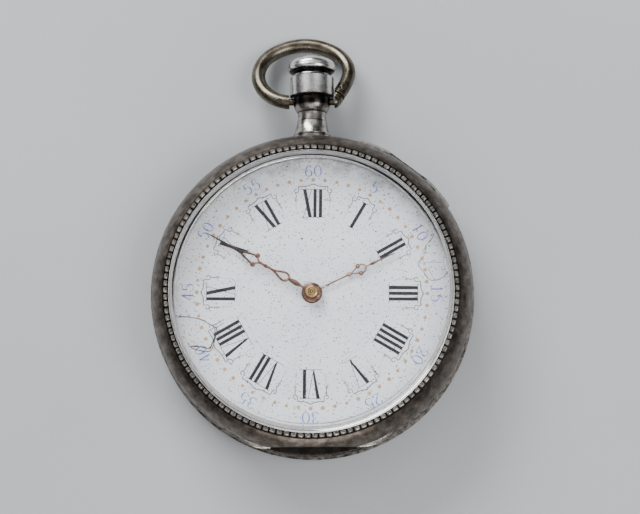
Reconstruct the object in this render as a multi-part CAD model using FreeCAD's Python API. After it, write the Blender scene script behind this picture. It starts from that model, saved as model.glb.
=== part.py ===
import FreeCAD, Part
import math
import os

# Open-face pocket watch, in millimetres. +Z is out of the dial, +Y points to the pendant and crown,
# +X points to 3 o'clock. The origin is the centre of the flat land on the back cover.

Vec = FreeCAD.Vector

# Case
CASE_R = 24.6            # middle band, top flange
BACK_R = 25.05           # widest rim, on the back cover
BEZEL_R = 24.42
OPENING_R = 21.15        # clear opening of the bezel over the dial
CRYSTAL_R = 21.45
CRYSTAL_TOP = 15.6
FLAT_Y = -23.45          # straight edge of the bezel at 6 o'clock
HINGE_CW = 37.3          # hinge, degrees clockwise from 12
LIP_FROM_CW = 16.8       # smooth lip that covers the hinge
LIP_TO_CW = 57.8
# Levels up the watch
BACK_RIM_Z = 2.9
MIDDLE_Z = (2.98, 9.35)
RATCHET_Z = (1.95, 2.4)
BRIDGE_Z = (2.45, 3.35)
PLATE_Z = (5.6, 7.0)
MOTION_Z = (7.08, 7.28)
HOUR_WHEEL_Z = (7.36, 7.6)
DIAL_Z = (7.7, 8.6)
HOUR_HAND_Z = (9.0, 9.25)
MINUTE_HAND_Z = (9.6, 9.85)
STEM_Z = 6.0
BEZEL_Z = (9.4, 13.05)
# Pendant and bow
BALL_Y = 30.75           # centre of the pendant's ball and of the bow's pins
BALL_R = 2.95
CROWN_Y = 31.4
CROWN_R = 3.46
BOW_WIRE_R = 1.1
BOW_END_X = 3.5
BOW_CLEAR_X = 3.56       # the crown turns between the bow's ends, which are cut flat here
BOW_LENGTH = 11.9        # from the pins to the middle of the wire at the top
BOW_DROOP = 24.9         # degrees below the dial's plane, where the bow rests
# Dial and hands
DIAL_R = 21.2
DIAL_TURN_CW = 0.8       # the dial sits this far clockwise in the case
MINUTE_CW = 299.2
HOUR_CW = 63.8
MINUTE_LENGTH = 18.4
HOUR_LENGTH = 14.0
# Movement
PLATE_R = 20.75
PLATE_FLANGE_R = 21.4
GEAR_FACE = 0.25
PIVOT_R = 0.1
JEWEL_HOLE_R = 0.13
ARBOR_R = 0.25
# Gears: teeth and modules
BARREL_TEETH, CENTRE_PINION_TEETH, BARREL_MODULE = 80, 10, 0.19
CENTRE_TEETH, THIRD_PINION_TEETH, CENTRE_MODULE = 64, 8, 0.15
THIRD_TEETH, FOURTH_PINION_TEETH, THIRD_MODULE = 60, 8, 0.14
FOURTH_TEETH, ESCAPE_PINION_TEETH, FOURTH_MODULE = 70, 7, 0.12
CANNON_TEETH, MINUTE_WHEEL_TEETH, MOTION_MODULE = 12, 36, 0.2
MINUTE_PINION_TEETH, HOUR_TEETH, HOUR_MODULE = 10, 40, 0.192
SETTING_TEETH = 24
RATCHET_TEETH, CROWN_WHEEL_TEETH, RATCHET_MODULE = 44, 27, 0.3
WINDING_TEETH, CONTRATE_TEETH, WINDING_MODULE = 12, 20, 0.24
ESCAPE_TEETH = 15
ESCAPE_R = 2.7
CROWN_WHEEL_Y = 15.6


def polar(radius, clockwise_deg, z=0.0):
    """A point given by its clockwise angle from 12."""
    a = math.radians(clockwise_deg)
    return Vec(radius * math.sin(a), radius * math.cos(a), z)


def meshing_distance(module, teeth, other_teeth):
    return module * (teeth + other_teeth) / 2


def third_corner(a, b, from_a, from_b, side):
    """The point at given distances from two others, on the left (1) or right (-1) of a to b."""
    along = b - a
    span = along.Length
    run = (from_a ** 2 - from_b ** 2 + span ** 2) / (2 * span)
    rise = math.sqrt(from_a ** 2 - run ** 2)
    unit = along * (1 / span)
    return a + unit * run + Vec(-unit.y, unit.x, 0) * (rise * side)


# Where each arbor stands
CENTRE = Vec(0, 0, 0)
CROWN_WHEEL = Vec(0, CROWN_WHEEL_Y, 0)
BARREL = third_corner(
    CENTRE,
    CROWN_WHEEL,
    meshing_distance(BARREL_MODULE, BARREL_TEETH, CENTRE_PINION_TEETH),
    meshing_distance(RATCHET_MODULE, RATCHET_TEETH, CROWN_WHEEL_TEETH),
    -1,
)
THIRD = polar(meshing_distance(CENTRE_MODULE, CENTRE_TEETH, THIRD_PINION_TEETH), 165)
FOURTH = THIRD + polar(meshing_distance(THIRD_MODULE, THIRD_TEETH, FOURTH_PINION_TEETH), 230)
ESCAPE = FOURTH + polar(meshing_distance(FOURTH_MODULE, FOURTH_TEETH, ESCAPE_PINION_TEETH), 305)
BALANCE = Vec(-8.6, 2.0, 0)
PALLET_FROM_ESCAPE = 3.05
PALLET = ESCAPE + (BALANCE - ESCAPE).normalize() * PALLET_FROM_ESCAPE
SETTING = Vec(0, 10.1, 0)
MINUTE_WHEEL = third_corner(
    CENTRE,
    SETTING,
    meshing_distance(MOTION_MODULE, CANNON_TEETH, MINUTE_WHEEL_TEETH),
    meshing_distance(MOTION_MODULE, SETTING_TEETH, MINUTE_WHEEL_TEETH),
    1,
)
LEVER_PIVOT = Vec(3.4, 19.55, 0)
LEVER_PIN = Vec(0.56, 18.95, 0)
YOKE_PIVOT = Vec(-4.2, 15.1, 0)
YOKE_PIN = Vec(-1.12, 15.6, 0)
CLICK = BARREL + polar(8.0, 125)

HINGE_OUT = polar(1, HINGE_CW)
HINGE_ALONG = Vec(HINGE_OUT.y, -HINGE_OUT.x, 0)
BEZEL_HINGE = (24.3, 8.75)      # distance from the centre, height
BACK_HINGE = (24.5, 3.5)
KNUCKLE_R = 0.5
HINGE_PIN_R = 0.22
KNUCKLE_GAP = 0.1


# ---------------------------------------------------------------- plain shapes
def cylinder(radius, z0, z1, at=CENTRE):
    return Part.makeCylinder(radius, z1 - z0, Vec(at.x, at.y, z0))


def ring(outer, inner, z0, z1, at=CENTRE):
    return cylinder(outer, z0, z1, at).cut(cylinder(inner, z0 - 1, z1 + 1, at))


def rod_y(radius, y0, y1, x=0.0, z=STEM_Z):
    return Part.makeCylinder(radius, y1 - y0, Vec(x, y0, z), Vec(0, 1, 0))


def block(x0, x1, y0, y1, z0, z1):
    return Part.makeBox(x1 - x0, y1 - y0, z1 - z0, Vec(x0, y0, z0))


def wire_of(points):
    """A closed wire through the points. A tuple (mid, end) in the list is an arc."""
    edges = []
    start = points[0]
    for point in points[1:] + [points[0]]:
        if isinstance(point, tuple):
            mid, end = point
            edges.append(Part.Arc(start, mid, end).toShape())
            start = end
        elif (point - start).Length > 1e-9:
            edges.append(Part.LineSegment(start, point).toShape())
            start = point
    return Part.Wire(edges)


def turned(points, at=CENTRE):
    """A solid of revolution about a vertical axis. Points are (radius, height)."""

    def place(p):
        if isinstance(p[0], tuple):
            return tuple(place(q) for q in p)
        return Vec(at.x + p[0], at.y, p[1])

    face = Part.Face(wire_of([place(p) for p in points]))
    return face.revolve(Vec(at.x, at.y, 0), Vec(0, 0, 1), 360)


def turned_y(points):
    """A solid of revolution about the stem's axis. Points are (distance along Y, radius)."""

    def place(p):
        if isinstance(p[0], tuple):
            return tuple(place(q) for q in p)
        return Vec(p[1], p[0], STEM_Z)

    face = Part.Face(wire_of([place(p) for p in points]))
    return face.revolve(Vec(0, 0, STEM_Z), Vec(0, 1, 0), 360)


def prism(points, z0, z1):
    """A flat-sided solid over a closed outline of (x, y) points."""
    outline = [Vec(p[0], p[1], z0) for p in points]
    face = Part.Face(Part.makePolygon(outline + outline[:1]))
    return face.extrude(Vec(0, 0, z1 - z0))


def joined(shapes):
    first, rest = shapes[0], shapes[1:]
    return first.multiFuse(rest).removeSplitter() if rest else first


def group(solids):
    """Separate solids that share one node."""
    return Part.makeCompound(solids)


def arc_strip(r0, r1, from_cw, to_cw, z0, z1):
    """A piece of a ring between two clockwise angles."""
    middle = (from_cw + to_cw) / 2
    outline = wire_of([
        polar(r0, from_cw, z0),
        (polar(r0, middle, z0), polar(r0, to_cw, z0)),
        polar(r1, to_cw, z0),
        (polar(r1, middle, z0), polar(r1, from_cw, z0)),
    ])
    return Part.Face(outline).extrude(Vec(0, 0, z1 - z0))


def bar(start, end, width, z0, z1):
    """A straight bar with round ends between two points."""
    along = (end - start).normalize()
    side = Vec(-along.y, along.x, 0) * (width / 2)
    corners = [start + side, end + side, end - side, start - side]
    body = prism([(c.x, c.y) for c in corners], z0, z1)
    return joined([body] + [cylinder(width / 2, z0, z1, p) for p in (start, end)])


def ribbon(path, thickness, z0, z1):
    """A thin upright band that follows a list of (x, y) points."""
    left, right = [], []
    for i, (x, y) in enumerate(path):
        ax, ay = path[max(i - 1, 0)]
        bx, by = path[min(i + 1, len(path) - 1)]
        length = math.hypot(bx - ax, by - ay)
        nx, ny = -(by - ay) / length * thickness / 2, (bx - ax) / length * thickness / 2
        left.append((x + nx, y + ny))
        right.append((x - nx, y - ny))
    return prism(left + right[::-1], z0, z1)


def spiral(at, r0, r1, turns, thickness, z0, z1, start_deg=0.0):
    steps = int(turns * 20)
    path = []
    for i in range(steps + 1):
        share = i / steps
        angle = math.radians(start_deg) + 2 * math.pi * turns * share
        radius = r0 + (r1 - r0) * share
        path.append((at.x + radius * math.cos(angle), at.y + radius * math.sin(angle)))
    return ribbon(path, thickness, z0, z1)


# ---------------------------------------------------------------- gears
def gear(teeth, module, z0, z1, at, phase, bore=0.0):
    """A gear with narrow, topped teeth. phase is the angle of one tooth, in radians."""
    pitch_r = module * teeth / 2
    tip_r, root_r = pitch_r + 0.85 * module, pitch_r - 1.15 * module
    step = 2 * math.pi / teeth
    outline = []
    for i in range(teeth):
        for radius, share in ((root_r, -0.27), (pitch_r, -0.2), (tip_r, -0.07),
                              (tip_r, 0.07), (pitch_r, 0.2), (root_r, 0.27)):
            a = phase + step * (i + share)
            outline.append((at.x + radius * math.cos(a), at.y + radius * math.sin(a)))
    body = prism(outline, z0, z1)
    return body.cut(cylinder(bore, z0 - 1, z1 + 1, at)) if bore else body


def meshed_phase(at, teeth, phase, other_at, other_teeth):
    """The phase that puts a gap of the other gear where this gear has a tooth."""
    line = math.atan2(other_at.y - at.y, other_at.x - at.x)
    share = ((line - phase) * teeth / (2 * math.pi)) % 1
    return line + math.pi + (share - 0.5) * 2 * math.pi / other_teeth


def wheel(teeth, module, z0, z1, at, phase, hub_r, arms=4):
    """A crossed-out train wheel: toothed rim, straight arms and a hub."""
    rim_inner = module * teeth / 2 - 1.15 * module - 0.45
    rim = gear(teeth, module, z0, z1, at, phase, rim_inner)
    pieces = [rim, cylinder(hub_r, z0, z1, at)]
    for i in range(arms):
        a = 2 * math.pi * i / arms
        tip = Vec(at.x + (rim_inner + 0.2) * math.cos(a), at.y + (rim_inner + 0.2) * math.sin(a), 0)
        pieces.append(bar(Vec(at.x, at.y, 0), tip, 0.5, z0, z1))
    return joined(pieces)


def arbor(at, body_r, body, tips):
    """A turned arbor between its two pivots. body and tips are (low, high) heights."""
    return joined([cylinder(body_r, body[0], body[1], at), cylinder(PIVOT_R, tips[0], tips[1], at)])


PHASES = {"centre pinion": 0.0, "centre": 0.0, "cannon": 0.1}
PHASES["barrel"] = meshed_phase(CENTRE, CENTRE_PINION_TEETH, 0.0, BARREL, BARREL_TEETH)
PHASES["third pinion"] = meshed_phase(CENTRE, CENTRE_TEETH, 0.0, THIRD, THIRD_PINION_TEETH)
PHASES["fourth pinion"] = meshed_phase(THIRD, THIRD_TEETH, 0.0, FOURTH, FOURTH_PINION_TEETH)
PHASES["escape pinion"] = meshed_phase(FOURTH, FOURTH_TEETH, 0.0, ESCAPE, ESCAPE_PINION_TEETH)
PHASES["minute wheel"] = meshed_phase(CENTRE, CANNON_TEETH, 0.1, MINUTE_WHEEL, MINUTE_WHEEL_TEETH)
PHASES["setting"] = meshed_phase(
    MINUTE_WHEEL, MINUTE_WHEEL_TEETH, PHASES["minute wheel"], SETTING, SETTING_TEETH)
PHASES["hour"] = meshed_phase(MINUTE_WHEEL, MINUTE_PINION_TEETH, 0.0, CENTRE, HOUR_TEETH)
PHASES["crown wheel"] = meshed_phase(BARREL, RATCHET_TEETH, 0.0, CROWN_WHEEL, CROWN_WHEEL_TEETH)


# ---------------------------------------------------------------- case
def hinge_block(along, out, z):
    """A block at the hinge: spans along the pin, out from the centre, and in height."""
    base = HINGE_ALONG * along[0] + HINGE_OUT * out[0] + Vec(0, 0, z[0])
    box = Part.makeBox(along[1] - along[0], out[1] - out[0], z[1] - z[0])
    frame = FreeCAD.Matrix(
        HINGE_ALONG.x, HINGE_OUT.x, 0, base.x,
        HINGE_ALONG.y, HINGE_OUT.y, 0, base.y,
        0, 0, 1, base.z,
        0, 0, 0, 1)
    box.Placement = FreeCAD.Placement(frame)
    return box


def hinge_rod(radius, along, hinge):
    base = HINGE_ALONG * along[0] + HINGE_OUT * hinge[0] + Vec(0, 0, hinge[1])
    return Part.makeCylinder(radius, along[1] - along[0], base, HINGE_ALONG)


def knuckle(along, hinge):
    bore = hinge_rod(HINGE_PIN_R + 0.03, (along[0] - 1, along[1] + 1), hinge)
    return hinge_rod(KNUCKLE_R, along, hinge).cut(bore)


BEZEL_KNUCKLES = [(-3.5, -1.2), (-1.1, 1.1), (1.2, 3.5)]
BACK_KNUCKLES = [(-5.5, -3.3), (-3.2, -1.2), (-1.1, 1.1), (1.2, 3.2), (3.3, 5.5)]


def with_knuckles(body, spans, hinge, reach, height):
    """Adds knuckles, each on a short leaf, and keeps the pin's bore open."""
    for along in spans:
        body = body.fuse(hinge_block(along, reach, height))
        body = body.fuse(hinge_rod(KNUCKLE_R, along, hinge))
    for along in spans:
        body = body.cut(hinge_rod(HINGE_PIN_R + 0.03, (along[0] - 0.2, along[1] + 0.2), hinge))
    return body.removeSplitter()


def case_middle():
    low, high = MIDDLE_Z
    band = turned([
        (21.0, low), (24.5, low), (24.7, low + 0.2), (24.7, low + 0.7),
        ((24.0, 6.3), (CASE_R, high - 0.6)), (CASE_R, high),
        (22.35, high), (22.35, high + 0.5), (21.5, high + 0.5), (21.5, 6.35), (21.0, 6.35)])
    lip = arc_strip(23.6, 25.0, LIP_FROM_CW, LIP_TO_CW, high - 1.15, high)
    band = band.fuse(lip)
    recess = block(-14, 14, -27, -21.9, 4.3, 8.1)
    front_slot = hinge_block((-3.6, 3.6), (23.55, 26), (BEZEL_HINGE[1] - 0.65, high + 1))
    back_slot = hinge_block((-5.6, 5.6), (23.55, 26), (low - 1, BACK_HINGE[1] + 0.65))
    tab_slot = hinge_block((-1.25, 1.25), (22.5, 24), (low - 1, BACK_HINGE[1] + 0.1))
    stem_hole = rod_y(2.05, 20, 26)
    band = band.cut(recess).cut(front_slot).cut(back_slot).cut(tab_slot).cut(stem_hole)
    front = [BEZEL_KNUCKLES[0], BEZEL_KNUCKLES[2]]
    back = [BACK_KNUCKLES[0], BACK_KNUCKLES[4]]
    band = with_knuckles(band, front, BEZEL_HINGE, (23.4, 24.3), (8.0, 8.9))
    return with_knuckles(band, back, BACK_HINGE, (23.4, 24.5), (3.3, 4.3))


def bezel():
    low, high = BEZEL_Z
    body = turned([
        (22.5, low), (BEZEL_R - 0.1, low), (BEZEL_R, low + 0.15), (BEZEL_R, low + 0.35),
        ((23.75, 11.5), (22.35, 12.95)), (22.1, high), (21.5, high), (21.5, 12.45),
        (OPENING_R, 12.3), (OPENING_R, 10.1), (22.5, 9.95)])
    body = body.cut(block(-14, 14, -27, FLAT_Y, low - 1, high + 1))
    slot = hinge_block((-3.6, 3.6), (23.6, 26), (low - 1, 9.42))
    body = body.cut(slot)
    return with_knuckles(body, [BEZEL_KNUCKLES[1]], BEZEL_HINGE, (23.75, 24.3), (8.75, 9.9))


def crystal():
    return turned([
        (0, 14.7), (0.5, 14.7), ((10.3, 14.62), (20.2, 14.35)), (20.25, 12.5), (CRYSTAL_R, 12.5),
        (CRYSTAL_R, 13.0), (21.25, 13.1), ((21.15, 14.4), (20.65, 15.25)),
        ((10.3, 15.52), (0.5, CRYSTAL_TOP)), (0, CRYSTAL_TOP)])


def back_cover():
    body = turned([
        (0, 0), (14, 0), ((21.2, 0.62), (24.8, 2.1)), (BACK_R, 2.45), (BACK_R, BACK_RIM_Z),
        (24.35, BACK_RIM_Z), (24.35, 2.3), ((20.9, 1.0), (14, 0.42)), (0, 0.42)])
    back = [BACK_KNUCKLES[1], BACK_KNUCKLES[3]]
    return with_knuckles(body, back, BACK_HINGE, (24.4, 24.95), (2.6, 3.5))


def cuvette():
    body = turned([
        (0, 0.75), (15, 0.75), ((19.8, 1.02), (22.6, 1.8)), (23.2, 2.3), (23.2, BACK_RIM_Z),
        (22.85, BACK_RIM_Z), (22.85, 2.35), (22.4, 2.1), ((19.6, 1.3), (15, 1.02)), (0, 1.02)])
    tab = [BACK_KNUCKLES[2]]
    body = body.fuse(hinge_block(tab[0], (22.85, 23.2), (2.6, 3.3)))
    return with_knuckles(body, tab, BACK_HINGE, (22.85, 24.5), (3.0, 3.4))


def pendant_neck():
    """Turned neck with three steps and the ball that holds the bow."""
    foot = 23.1
    reach = math.sqrt(BALL_R ** 2 - 2.1 ** 2)
    neck = turned_y([
        (foot, 0.9), (foot, 2.0), (24.35, 2.0), (24.35, 2.9), (25.4, 2.9),
        ((26.5, 2.5), (27.5, 2.35)), (27.5, 2.25), (28.9, 2.2), (28.9, 2.1),
        (BALL_Y - reach, 2.1), ((BALL_Y - 1.0, math.sqrt(BALL_R ** 2 - 1.0)), (BALL_Y, BALL_R)),
        (31.15, math.sqrt(BALL_R ** 2 - 0.4 ** 2)), (31.15, 0.9)])
    neck = neck.cut(case_middle())
    socket = Part.makeCylinder(0.5, 8, Vec(-4, BALL_Y, STEM_Z), Vec(1, 0, 0))
    return neck.cut(socket.cut(rod_y(1.6, 28, 33)))


def bow():
    """Round wire loop on two coaxial pins, modelled in the dial's plane and then let down."""
    z = STEM_Z
    leaning = [
        (-BOW_END_X, 0.0), (-4.2, 0.1), (-5.3, 0.45), (-7.7, 2.5), (-8.6, 5.8), (-7.3, 9.2),
        (-4.7, 11.1), (-1.4, BOW_LENGTH), (2.1, 11.1), (4.75, 9.0), (5.8, 5.8), (5.35, 3.9),
        (4.65, 2.3), (BOW_END_X + 0.1, 0.3)]
    line = Part.BSplineCurve()
    line.interpolate([Vec(x, BALL_Y + up, z) for x, up in leaning])
    start, along = line.value(line.FirstParameter), line.tangent(line.FirstParameter)[0]
    section = Part.Wire(Part.makeCircle(BOW_WIRE_R, start, along))
    loop = Part.Wire(line.toShape()).makePipeShell([section], True, True)
    pieces = [loop]
    for side in (-1, 1):
        pieces.append(Part.makeSphere(BOW_WIRE_R * 0.9, Vec(side * (BOW_END_X + 0.05), BALL_Y, z)))
        pieces.append(Part.makeCylinder(0.45, 2.2, Vec(side * 3.9, BALL_Y, z), Vec(-side, 0, 0)))
    clear = block(-BOW_CLEAR_X, BOW_CLEAR_X, BALL_Y - 2, BALL_Y + 3.2, z - 2, z + 2)
    body = joined(pieces).cut(clear.cut(Part.makeCylinder(0.53, 8, Vec(-4, BALL_Y, z), Vec(1, 0, 0))))
    body = body.cut(Part.makeSphere(BALL_R + 0.03, Vec(0, BALL_Y, z)).cut(
        Part.makeCylinder(0.46, 8, Vec(-4, BALL_Y, z), Vec(1, 0, 0))))
    body.rotate(Vec(0, BALL_Y, z), Vec(1, 0, 0), -BOW_DROOP)
    return body


# ---------------------------------------------------------------- winding and setting
def crown():
    bore = 0.55
    return turned_y([
        (CROWN_Y, bore), (CROWN_Y, CROWN_R - 0.15), (CROWN_Y + 0.15, CROWN_R),
        (34.5, CROWN_R), ((34.95, 3.0), (35.4, 3.25)), ((35.75, 3.65), (36.3, 3.7)),
        ((37.0, 3.5), (37.4, 2.9)), ((37.93, 1.7), (38.1, 0.4)), (38.1, 0), (34.0, 0), (34.0, bore)])


def stem():
    shaft = turned_y([
        (12.2, 0), (12.2, 0.35), (13.3, 0.35), (13.3, 0.55), (18.73, 0.55), (18.73, 0.36),
        (19.17, 0.36), (19.17, 0.55), (33.95, 0.55), (33.95, 0)])
    return shaft


def sleeve():
    """Split sleeve in the pendant that steadies the stem."""
    tube = turned_y([(24.0, 0.6), (24.0, 0.88), (28.6, 0.88), (28.6, 0.6)])
    return tube.cut(block(-0.12, 0.12, 26.5, 29, STEM_Z, STEM_Z + 2))


def toothed_rod(teeth, module, y0, y1, phase, bore):
    """A spur pinion on the stem's axis."""
    flat = gear(teeth, module, 0, y1 - y0, CENTRE, phase, bore)
    flat.rotate(CENTRE, Vec(1, 0, 0), -90)
    flat.translate(Vec(0, y0, STEM_Z))
    return flat


def winding_pinion():
    return toothed_rod(WINDING_TEETH, WINDING_MODULE, 17.7, 18.4, -math.pi / 2, 0.58)


def clutch_wheel():
    body = turned_y([
        (13.6, 0.58), (13.6, 1.0), (14.1, 1.2), (15.3, 1.2), (15.3, 0.9), (15.9, 0.9),
        (15.9, 1.2), (17.4, 1.2), (17.4, 0.58)])
    for i in range(8):
        notch = block(-0.14, 0.14, 13.5, 13.9, STEM_Z + 0.7, STEM_Z + 1.5)
        notch.rotate(Vec(0, 0, STEM_Z), Vec(0, 1, 0), 45 * i)
        body = body.cut(notch)
    return body


def setting_lever():
    z0, z1 = 7.08, 7.38
    pin = cylinder(0.18, STEM_Z - 0.1, z0 + 0.1, LEVER_PIN)
    tail = Vec(4.8, 16.9, 0)
    hub = cylinder(0.7, z0, z1, LEVER_PIVOT)
    arms = [bar(LEVER_PIVOT, LEVER_PIN, 0.7, z0, z1), bar(LEVER_PIVOT, tail, 0.7, z0, z1)]
    return joined(arms + [hub, pin]).cut(cylinder(0.38, z0 - 1, z1 + 1, LEVER_PIVOT))


def yoke():
    z0, z1 = 7.28, 7.55
    tail = Vec(-5.6, 13.2, 0)
    pin = cylinder(0.18, STEM_Z - 0.1, z0 + 0.1, YOKE_PIN)
    hub = cylinder(0.7, z0, z1, YOKE_PIVOT)
    arms = [bar(YOKE_PIVOT, YOKE_PIN, 0.6, z0, z1), bar(YOKE_PIVOT, tail, 0.6, z0, z1)]
    return joined(arms + [hub, pin]).cut(cylinder(0.38, z0 - 1, z1 + 1, YOKE_PIVOT))


def yoke_spring():
    path = [(-9.4 + 0.28 * i, 16.95 - 0.008 * i * i - 0.15 * i) for i in range(12)]
    foot = cylinder(0.6, 7.0, 7.5, Vec(-9.5, 16.9, 0))
    return joined([ribbon(path, 0.18, 7.1, 7.45), foot])


def lever_studs():
    """Shouldered studs on the dial side that the two levers turn on."""
    studs = []
    for at, top in ((LEVER_PIVOT, 7.5), (YOKE_PIVOT, 7.62)):
        studs.append(cylinder(0.35, 6.4, top, at))
    return group(studs)


def setting_wheel():
    return gear(SETTING_TEETH, MOTION_MODULE, *MOTION_Z, SETTING, PHASES["setting"], 0.43)


def motion_posts():
    """Posts for the minute wheel and the setting wheel."""
    return group([cylinder(0.4, 6.4, 7.62, SETTING), cylinder(0.3, 6.4, 7.65, MINUTE_WHEEL)])


def crown_wheel():
    spur = gear(CROWN_WHEEL_TEETH, RATCHET_MODULE, *RATCHET_Z, CROWN_WHEEL, PHASES["crown wheel"])
    pitch_r = WINDING_MODULE * CONTRATE_TEETH / 2
    wall = ring(pitch_r + 0.25, pitch_r - 0.3, RATCHET_Z[1] - 0.1, 4.75, CROWN_WHEEL)
    for i in range(CONTRATE_TEETH):
        gap = block(-0.27, 0.27, pitch_r - 0.6, pitch_r + 0.6, 4.35, 5.0)
        gap.rotate(CENTRE, Vec(0, 0, 1), 360 / CONTRATE_TEETH * i)
        gap.translate(CROWN_WHEEL)
        wall = wall.cut(gap)
    return joined([spur, wall]).cut(cylinder(0.85, 1, 6, CROWN_WHEEL))


def crown_wheel_core():
    """The crown wheel's hub, carried over the wheel on an arm whose foot stands on the barrel bridge."""
    arm = block(-5.3, 0, CROWN_WHEEL_Y - 0.8, CROWN_WHEEL_Y + 0.8, 1.55, 1.85)
    foot = block(-5.3, -4.5, CROWN_WHEEL_Y - 0.8, CROWN_WHEEL_Y + 0.8, 1.55, BRIDGE_Z[0])
    core = joined([cylinder(0.8, 1.9, 3.3, CROWN_WHEEL), cylinder(1.6, 1.55, 1.9, CROWN_WHEEL), arm, foot])
    return core.cut(block(-1.7, 1.7, CROWN_WHEEL_Y - 0.15, CROWN_WHEEL_Y + 0.15, 1.4, 1.7))


def ratchet_wheel():
    body = gear(RATCHET_TEETH, RATCHET_MODULE, *RATCHET_Z, BARREL, 0.0)
    square = block(BARREL.x - 0.75, BARREL.x + 0.75, BARREL.y - 0.75, BARREL.y + 0.75, 1, 3)
    return body.cut(square)


def ratchet_screw():
    head = cylinder(1.5, 1.55, RATCHET_Z[0], BARREL)
    slot = block(BARREL.x - 1.6, BARREL.x + 1.6, BARREL.y - 0.15, BARREL.y + 0.15, 1.4, 1.7)
    return joined([head, cylinder(0.4, RATCHET_Z[0] - 0.1, 3.2, BARREL)]).cut(slot)


def click():
    z0, z1 = RATCHET_Z
    towards = (BARREL - CLICK).normalize()
    nose = CLICK + towards * 1.0 + Vec(-towards.y, towards.x, 0) * 1.5
    body = joined([cylinder(0.8, z0, z1, CLICK), bar(CLICK, nose, 0.5, z0, z1)])
    return body.cut(cylinder(0.43, z0 - 1, z1 + 1, CLICK))


def click_screw():
    return joined([cylinder(0.75, 1.6, 1.9, CLICK), cylinder(0.4, 1.85, 3.2, CLICK)])


def click_spring():
    away = (CLICK - BARREL).normalize()
    side = Vec(-away.y, away.x, 0)
    foot = CLICK + away * 1.6 - side * 2.2
    path = []
    for i in range(9):
        p = foot + side * (0.42 * i) + away * (0.02 * i * (8 - i))
        path.append((p.x, p.y))
    return joined([ribbon(path, 0.16, 2.0, 2.38), cylinder(0.55, 1.95, BRIDGE_Z[0], foot)])


# ---------------------------------------------------------------- power and train
def barrel_drum():
    low, high = 3.5, 4.62
    body = gear(BARREL_TEETH, BARREL_MODULE, low, low + 0.4, BARREL, PHASES["barrel"])
    body = body.fuse(cylinder(7.2, low, high, BARREL))
    return body.cut(cylinder(6.9, low + 0.2, high + 1, BARREL)).cut(cylinder(0.78, 3, 5, BARREL))


def barrel_lid():
    return ring(7.2, 0.78, 4.64, 4.84, BARREL)


def barrel_arbor():
    core = joined([cylinder(1.5, 3.76, 4.58, BARREL), cylinder(0.75, 2.42, 5.8, BARREL)])
    square = block(BARREL.x - 0.7, BARREL.x + 0.7, BARREL.y - 0.7, BARREL.y + 0.7, 1.97, 2.45)
    return joined([core, square]).cut(cylinder(0.42, 1.9, 3.25, BARREL))


def mainspring():
    return spiral(BARREL, 1.62, 6.78, 9, 0.16, 3.78, 4.56)


def centre_wheel():
    rim = wheel(CENTRE_TEETH, CENTRE_MODULE, 5.0, 5.25, CENTRE, PHASES["centre"], 1.2)
    pinion = gear(CENTRE_PINION_TEETH, BARREL_MODULE, 3.45, 4.95, CENTRE, PHASES["centre pinion"])
    shaft = joined([cylinder(0.42, 2.6, 9.8), cylinder(0.7, 4.9, 5.55)])
    return joined([rim, pinion, shaft])


def cannon_pinion():
    leaves = gear(CANNON_TEETH, MOTION_MODULE, *MOTION_Z, CENTRE, PHASES["cannon"])
    return joined([leaves, cylinder(0.62, 7.08, 9.75)]).cut(cylinder(0.43, 6, 11))


def train_wheel(at, pinion, pinion_z, rim, rim_z):
    """A wheel and pinion on one arbor. Each of pinion and rim is (teeth, module, phase)."""
    leaves = gear(pinion[0], pinion[1], *pinion_z, at, pinion[2])
    disc = wheel(rim[0], rim[1], *rim_z, at, rim[2], 0.6)
    return joined([leaves, disc, arbor(at, ARBOR_R, (3.45, 5.5), (2.7, 6.4))])


def third_wheel():
    return train_wheel(
        THIRD,
        (THIRD_PINION_TEETH, CENTRE_MODULE, PHASES["third pinion"]), (4.9, 5.4),
        (THIRD_TEETH, THIRD_MODULE, 0.0), (4.1, 4.1 + GEAR_FACE))


def fourth_wheel():
    return train_wheel(
        FOURTH,
        (FOURTH_PINION_TEETH, THIRD_MODULE, PHASES["fourth pinion"]), (3.95, 4.5),
        (FOURTH_TEETH, FOURTH_MODULE, 0.0), (4.58, 4.58 + GEAR_FACE))


def escape_wheel():
    """Club-toothed wheel, drawn with leaning teeth on a thin rim."""
    z0, z1 = 4.95, 5.15
    outline = []
    step = 2 * math.pi / ESCAPE_TEETH
    for i in range(ESCAPE_TEETH):
        for radius, share in ((2.05, -0.3), (ESCAPE_R - 0.05, 0.02), (ESCAPE_R, 0.13), (2.05, 0.05)):
            a = step * (i + share)
            outline.append((ESCAPE.x + radius * math.cos(a), ESCAPE.y + radius * math.sin(a)))
    rim = prism(outline, z0, z1).cut(cylinder(1.75, z0 - 1, z1 + 1, ESCAPE))
    arms = [bar(ESCAPE, ESCAPE + polar(1.9, 90 * i), 0.3, z0, z1) for i in range(4)]
    leaves = gear(ESCAPE_PINION_TEETH, FOURTH_MODULE, 4.45, 4.9, ESCAPE, PHASES["escape pinion"])
    staff = arbor(ESCAPE, 0.2, (3.45, 5.5), (2.7, 6.4))
    return joined([rim, leaves, staff, cylinder(0.5, z0, z1, ESCAPE)] + arms)


def escapement_axes():
    """Unit vectors along the line from the escape wheel to the balance, and across it."""
    along = (BALANCE - ESCAPE).normalize()
    return along, Vec(-along.y, along.x, 0)


def pallet_fork():
    z0, z1 = 5.14, 5.34
    along, across = escapement_axes()
    notch = PALLET + along * 4.25
    arms = [bar(PALLET, PALLET + across * (1.75 * side) - along * 0.35, 0.4, z0, z1) for side in (-1, 1)]
    lever = bar(PALLET, notch, 0.36, z0, z1)
    horns = [bar(notch, notch + along * 0.42 + across * (0.3 * side), 0.16, z0, z1) for side in (-1, 1)]
    staff = joined([cylinder(0.3, 4.72, 5.45, PALLET), cylinder(PIVOT_R, 4.4, 6.4, PALLET)])
    return joined(arms + [lever, staff] + horns)


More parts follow.
